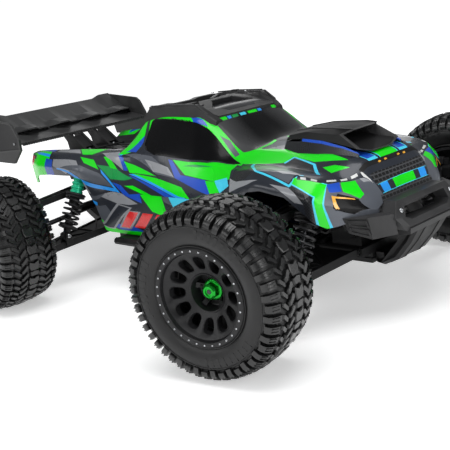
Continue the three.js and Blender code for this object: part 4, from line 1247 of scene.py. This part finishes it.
def make_front_bumper():
    b = Build("bumper")
    # the hoop round the opening: outer and inner outlines of its front, then its back
    outer = mirrored([(312, 46, 99), (309, 60, 115), (302, 47, 130.5)])
    inner = mirrored([(311.5, 33, 109), (309, 42, 113), (305.5, 38, 124.5)])
    ridge = mirrored([(313.5, 42, 103), (311, 52, 115), (304.5, 43, 128)])
    back_in = [(x - 16, y * 0.97, z) for x, y, z in inner]
    back_out = [(x - 18, y * 0.97, z) for x, y, z in outer]
    b.skin([outer, ridge, inner, back_in, back_out, outer], (False, False))
    for s in (-1, 1):
        bumper_wing(b, s)
        # ribs between the wing and the lower lip
        b.use("soot")
        b.skin([[(300, s * 20, 96), (309, s * 20, 99), (311, s * 30, 99), (300, s * 34, 94)],
                [(262, s * 18, 54), (268, s * 18, 53), (268, s * 26, 53), (262, s * 28, 54)]])
        b.use("steel").screw((307.5, s * 47, 121), (0.9, 0, 0.3), 2.6)
        b.use("bumper")
    # lower lip, a bar under it and the curved skid
    b.skin([[(300, y, 92), (314, y * 0.98, 95), (315, y * 0.98, 101), (300, y, 102)]
            for y in (-44, -15, 15, 44)])
    b.use("soot")
    skid = [(256, 53), (262, 52.6), (282, 62), (300, 82), (311, 98)]
    rings = []
    for x, z in skid:
        w = 27 + (x - 256) * 0.1
        rings.append([(x, -w, z), (x + 2.5, -w + 4, z - 2.6), (x + 2.5, w - 4, z - 2.6), (x, w, z),
                      (x - 4, w - 3, z + 3), (x - 4, -w + 3, z + 3)])
    b.skin(rings)
    for y in (-14, 14):
        b.skin([[(x + 1.8, y - 1.6, z - 2), (x + 3.2, y - 1, z - 3.2), (x + 3.2, y + 1, z - 3.2),
                 (x + 1.8, y + 1.6, z - 2)] for x, z in skid])
    b.box((253, -24, 56), (264, 24, 64))
    b.done("front_bumper_looks", "chassis", "black_plastic", ("front_bumper",), 0.7)


def make_rear_bumper():
    b = Build("bumper")
    side = [(-254, 54), (-262, 53), (-290, 68), (-306, 78)]
    rings = []
    for x, z in side:
        rings.append([(x, -34, z), (x, -30, z - 1.5), (x, 30, z - 1.5), (x, 34, z), (x + 3, 33, z + 9),
                      (x + 3, -33, z + 9)])
    b.skin(rings)
    b.skin([[(x + 10, y, 76), (x, y, 75), (x - 2, y, 81), (x, y, 87), (x + 8, y, 88)]
            for x, y in ((-297, -62), (-304, -52), (-309, -20), (-309, 20), (-304, 52), (-297, 62))])
    for y in (-22, -11, 0, 11, 22):
        b.skin([[(x + 0.5, y - 1.2, z + 8.5), (x + 1, y, z + 11), (x + 0.5, y + 1.2, z + 8.5)]
                for x, z in side[1:]])
    b.done("rear_bumper_looks", "chassis", "black_plastic", ("rear_bumper",), 0.7)


# ---- Wing -------------------------------------------------------------------------------
def wave(y, period=58.0, flat=0.3):
    """Rises and falls between 0 and 1 with flats, once a period."""
    t = abs((y / period + 0.5) % 1.0 - 0.5) * 2
    return min(1.0, max(0.0, (t - flat) / (1 - 2 * flat)))


def wing_planes(b):
    ys = [-119.5 + 239 * i / 96 for i in range(97)]
    # front plane, its rear edge dipping under each louvre
    rings = []
    for y in ys:
        w = wave(y, 60, 0.26)
        edge = -344 - 3 * w
        z = 205.5 + 3.5 * w
        rings.append([(-305, y, 198), (-306, y, 200.6), (-326, y, 204.4), (edge, y, z + 1.4),
                      (edge - 3, y, 203.8), (-363, y, 213.4), (-363, y, 212.2), (-344, y, 202.2),
                      (-326, y, 202)])
    b.skin(rings)
    # rear plane with raised louvres along its front edge and kicked-up ends
    rings = []
    for y in ys:
        w = wave(y - 8, 60, 0.26)
        kick = max(0.0, min(1.0, (abs(y) - 84) / 14)) * 4.5
        edge = -349 + 20 * w
        z = 211.5 + 4 * w
        rings.append([(edge, y, z), (edge - 1, y, z + 2), (-356, y, 215.5 + 6 * w), (-366, y, 219.5),
                      (-402, y, 237.5 + kick), (-405, y, 236 + kick), (-366, y, 217), (-356, y, 213 + 6 * w)])
    b.skin(rings)


def end_plate(b, s):
    """A bordered panel above a folded lower lip."""
    plate = [(-306, s * 123.3, 190), (-306, s * 123.3, 206), (-318, s * 123.3, 226),
             (-326, s * 123.3, 231.5), (-408, s * 123.3, 240.5), (-400, s * 123.3, 184)]
    b.use("wing")
    panel(b, plate, (0, -s * 3.6, 0), 0.09, 0.35, "black")
    b.skin([[(-306, s * 119.7, 190), (-306, s * 123.3, 190), (-400, s * 123.3, 184),
             (-400, s * 119.7, 184)],
            [(-331, s * 119.7, 169.5), (-331, s * 124.4, 170), (-396, s * 124.4, 172),
             (-396, s * 119.7, 171)]])
    b.use("steel")
    for x, z in ((-322, 200), (-386, 212)):
        b.screw((x, s * 122.6, z), (0, s, 0), 2.0)


def make_wing():
    b = Build("wing")
    wing_planes(b)
    # struts between the planes and the serrated front edge
    for y in (-101, -87, -43, -29, 29, 43, 87, 101):
        b.skin([[(-332, y - 1.2, 203), (-360, y - 1.2, 214.5), (-360, y + 1.2, 214.5), (-332, y + 1.2, 203)],
                [(-336, y - 1.0, 205.5), (-358, y - 1.0, 216), (-358, y + 1.0, 216), (-336, y + 1.0, 205.5)]])
    for i in range(56):
        y = -115.5 + i * 4.2
        b.box((-308.5, y - 1.0, 196.2), (-303.6, y + 1.0, 200.9))
    # gurney ribs under the rear plane
    for y in range(-96, 97, 24):
        b.slab([(-352, 208.5), (-366, 213.2), (-400, 234.5)], y - 0.9, y + 0.9)
    for s in (-1, 1):
        end_plate(b, s)
    b.done("wing_looks", "body_cover", "black_plastic", ("wing",), 0.35)


def make_wing_mount():
    b = Build("soot")
    for s in (-1, 1):
        outline = [(-262, 168), (-272, 176), (-303, 196.8), (-330, 200.8), (-316, 186), (-312, 168)]
        for y in (13, 32):
            b.slab(outline, s * (y - 2.2), s * (y + 2.2))
        b.skin([[(-276, s * 11, 177), (-276, s * 34, 177), (-302, s * 34, 194), (-302, s * 11, 194)],
                [(-279, s * 11, 174), (-279, s * 34, 174), (-305, s * 34, 191), (-305, s * 11, 191)]])
        b.skin([[(-150, s * 30, 166), (-150, s * 44, 166), (-196, s * 46, 166), (-196, s * 24, 166)],
                [(-154, s * 33, 174), (-154, s * 41, 174), (-188, s * 42, 181), (-188, s * 28, 181)]])
    b.box((-308, -38, 167), (-266, 38, 173))
    for y in (-24, -12, 0, 12, 24):
        b.box((-262, y - 2, 167), (-206, y + 2, 171.5))
    for s in (-1, 1):
        for x in (-300, -274):
            b.use("steel").screw((x, s * 23, 173), (0, 0, 1), 2.4)
    b.done("wing_mount_looks", "body_cover", "black_plastic", ("wing_mount",), 0.6)


# ---- Suspension -------------------------------------------------------------------------
# where each end's shocks sit, as (y, z) of the top eye and of the foot
SHOCK = {"front": ((93, 152), (131, 74)), "rear": ((96, 152), (139, 73))}
FORWARD = Vector((1, 0, 0))


def make_arm(body, axle, side, z, inner, outer, thick):
    """inner and outer are the two ends' extents along x, counted from the axle."""
    b = Build("soot")

    def p(edge, t, up, pull=0.0):
        x = axle + lerp(inner[edge], outer[edge], t) + (pull if edge == 0 else -pull)
        return Vector((x, side * lerp(PIN_Y - LINK_DY, PIN_Y, t), lerp(z + LINK_DZ, z, t) + up))

    h = thick / 2
    for edge in (0, 1):
        b.skin([[p(edge, t, -h - 1), p(edge, t, h + 0.6, 1.2), p(edge, t, h + 0.6, 4.4),
                 p(edge, t, -h - 1, 5.6)] for t in (0.03, 0.12, 0.5, 0.9, 0.98)])
    b.skin([[p(0, t, -h + 0.8, 4), p(1, t, -h + 0.8, 4), p(1, t, h - 1.6, 4), p(0, t, h - 1.6, 4)]
            for t in (0.04, 0.97)])
    # ribs across the arm, from one edge to the other
    for edge, t0, t1 in ((0, 0.1, 0.34), (0, 0.34, 0.34), (1, 0.34, 0.6), (0, 0.6, 0.6), (0, 0.6, 0.88)):
        a = p(edge, t0, 0, 4)
        c = p(1 - edge, t1, 0, 4)
        d = c - a
        n = Vector((-d.y, d.x, 0)).normalized() * 1.5
        low, high = Vector((0, 0, -h)), Vector((0, 0, h + 0.2))
        b.skin([[e - n + low, e + n + low, e + n * 0.7 + high, e - n * 0.7 + high] for e in (a, c)])
    for t, ends in ((0, inner), (1, outer)):
        c = p(0, t, 0)
        a = Vector((axle + ends[0], c.y, c.z))
        e = Vector((axle + ends[1], c.y, c.z))
        b.rod(a, e, 5.0, sides=20)
        for q, d in ((a, -1), (e, 1)):
            b.use("steel").screw(q, (d, 0, 0), 3.0, 1.6)
            b.use("soot")
    b.done(f"{body}_looks", body, "black_plastic", (body,), 0.5)


def make_ears(corner, foot):
    """The lower arm's ears and screw for the shock's foot."""
    b = Build("soot")
    for dx in (-8.2, 5.2):
        b.slab([(foot.y - 6, foot.z - 13), (foot.y + 6, foot.z - 13), (foot.y + 4, foot.z + 3),
                (foot.y, foot.z + 4.6), (foot.y - 4, foot.z + 3)], foot.x + dx, foot.x + dx + 3, "yz")
    b.use("steel")
    b.rod(foot - FORWARD * 9, foot + FORWARD * 9, 1.5, sides=14)
    for d in (1, -1):
        b.screw(foot + FORWARD * 8.4 * d, (d, 0, 0), 3.2, 2)
    b.done(f"{corner}_shock_ears", f"{corner}_lower_arm", "black_plastic", (), 0.4)


def make_shock(corner, top, foot):
    """The two halves of a shock, their profiles in shares of its length d from the top eye."""
    d = (foot - top).length
    along = (foot - top).normalized()

    # the body: eye, ribbed cap, barrel and spring collar
    b = Build("teal")
    b.lathe([(0.02 * d, 5.0), (0.05 * d, 7.4), (0.07 * d, 9.0), (0.105 * d, 9.0), (0.112 * d, 7.6),
             (0.135 * d, 7.6), (0.142 * d, 9.2), (0.17 * d, 9.2), (0.178 * d, 7.8), (0.2 * d, 7.8),
             (0.208 * d, 9.2), (0.24 * d, 9.2), (0.248 * d, 7.8), (0.27 * d, 7.8), (0.278 * d, 9.0),
             (0.31 * d, 9.0), (0.31 * d, 2.7), (0.02 * d, 2.7)], top, along, 32, True)
    b.use("soot")
    b.lathe([(0.3 * d, 7.3), (0.51 * d, 7.3), (0.53 * d, 6.0), (0.53 * d, 2.7), (0.3 * d, 2.7)],
            top, along, 28, True)
    b.use("black")
    b.lathe([(0.31 * d, 7.0), (0.315 * d, 12.6), (0.325 * d, 14.2), (0.345 * d, 14.2), (0.355 * d, 12.4),
             (0.365 * d, 13.6), (0.38 * d, 13.6), (0.385 * d, 12), (0.385 * d, 7)], top, along, 32, True)
    b.use("soot")
    b.lathe([(-3.2, 2.4), (-3.2, 6.0), (-2.4, 6.8), (2.4, 6.8), (3.2, 6.0), (3.2, 2.4)], top, FORWARD, 24)
    b.done(f"{corner}_shock_body_looks", f"{corner}_shock_body", "green_aluminium",
           (f"{corner}_shock_body",))

    # the shaft: rod, bump stop, spring plate and eye
    b = Build("dark_steel")
    b.lathe([(0.36 * d, 1.8), (0.9 * d, 1.8)], top, along, 16)
    b.use("black")
    b.lathe([(0.75 * d, 1.8), (0.755 * d, 5.6), (0.81 * d, 6.2), (0.82 * d, 1.8)], top, along, 20, True)
    b.lathe([(0.82 * d, 5), (0.845 * d, 12.2), (0.85 * d, 13.8), (0.875 * d, 13.8), (0.885 * d, 12),
             (0.9 * d, 5.4), (0.955 * d, 4.6), (0.955 * d, 0.1)], top, along, 32)
    b.use("soot")
    b.lathe([(-3.2, 2.0), (-3.2, 5.8), (-2.4, 6.5), (2.4, 6.5), (3.2, 5.8), (3.2, 2.0)], foot, FORWARD, 24)
    b.done(f"{corner}_shock_shaft_looks", f"{corner}_shock_shaft", "steel", (f"{corner}_shock_shaft",))


def make_spring(corner, top, foot, side):
    """The coil round the shock."""
    b = Build("coil")
    d = (foot - top).length
    along = (foot - top).normalized()
    u, v = basis(along)
    coils, steps, path = 5.25, 150, []
    for i in range(steps + 1):
        t = i / steps
        spin = 2 * math.pi * coils * t * side
        path.append(top + along * d * lerp(0.4, 0.835, t)
                    + (u * math.cos(spin) + v * math.sin(spin)) * 11.6)
    b.tube(path, 1.65, 8)
    o = b.object(f"{corner}_spring_looks")
    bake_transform(o)
    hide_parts(f"{corner}_spring")


def make_corner(corner, axle, side):
    (ty, tz), (fy, fz) = SHOCK[corner.split("_")[0]]
    x = axle + 17
    top, foot = Vector((x, side * ty, tz)), Vector((x, side * fy, fz))
    make_arm(f"{corner}_lower_arm", axle, side, PIN_LOW_Z, (-31, 31), (-13, 13), 7.5)
    make_arm(f"{corner}_upper_arm", axle, side, PIN_UP_Z, (-30, 0), (-16, 0), 6.5)
    make_ears(corner, foot)
    make_shock(corner, top, foot)
    make_spring(corner, top, foot, side)


def make_towers():
    for end, x in (("front", FRONT_X), ("rear", REAR_X)):
        ty, tz = SHOCK[end][0]
        b = Build("soot")
        outline = [(0, 134), (26, 133), (60, 142), (ty - 8, tz - 9), (ty + 5, tz - 7), (ty + 7, tz + 2),
                   (ty, tz + 7), (ty - 14, tz + 4), (44, 156), (16, 158), (0, 158)]
        left = [(-y, z) for y, z in reversed(outline[1:-1])]
        b.slab(outline + left, x - 3.2, x + 3.2, "yz")
        b.use("steel")
        for s in (-1, 1):
            for y, z in ((20, 146), (44, 149), (ty, tz)):
                for face in (-1, 1):
                    b.screw((x + face * 3.2, s * y, z), (face, 0, 0), 2.8)
        b.use("nut")
        for s in (-1, 1):
            b.slab([(s * 22, 128), (s * 66, 141), (s * 66, 145), (s * 22, 133)], x - 6.4, x - 3.4, "yz")
        b.done(f"{end}_tower_plate", "chassis", "black_plastic", (), 0.5)


def dress_cad():
    """Finishes for the pieces whose CAD solids are shown."""
    plain = {"motor": "dark_steel", "spur_gear_and_shaft": "steel", "pinion_gear": "steel",
             "left_battery": "cells", "right_battery": "cells", "speed_controller": "black",
             "receiver_box": "black", "steering_servo": "black", "servo_horn": "nut",
             "drag_link": "dark_steel", "left_tie_rod": "dark_steel", "right_tie_rod": "dark_steel"}
    for name, o in frame["nodes"].items():
        kind = plain.get(name)
        if kind is None:
            kind = "dark_steel" if name.endswith("driveshaft") else "soot"
        o.data.materials.clear()
        o.data.materials.append(M[kind])


CORNERS = [("front_right", FRONT_X, -1), ("front_left", FRONT_X, 1),
           ("rear_right", REAR_X, -1), ("rear_left", REAR_X, 1)]

make_stage()
dress_cad()
make_wheels()
make_shell()
make_roof_frame()
make_roof_dashes()
make_scoop()
make_scoop_skirt()
make_front_details()
make_front_bumper()
make_rear_bumper()
make_wing()
make_wing_mount()
make_towers()
for corner, x, side in CORNERS:
    make_corner(corner, x, side)
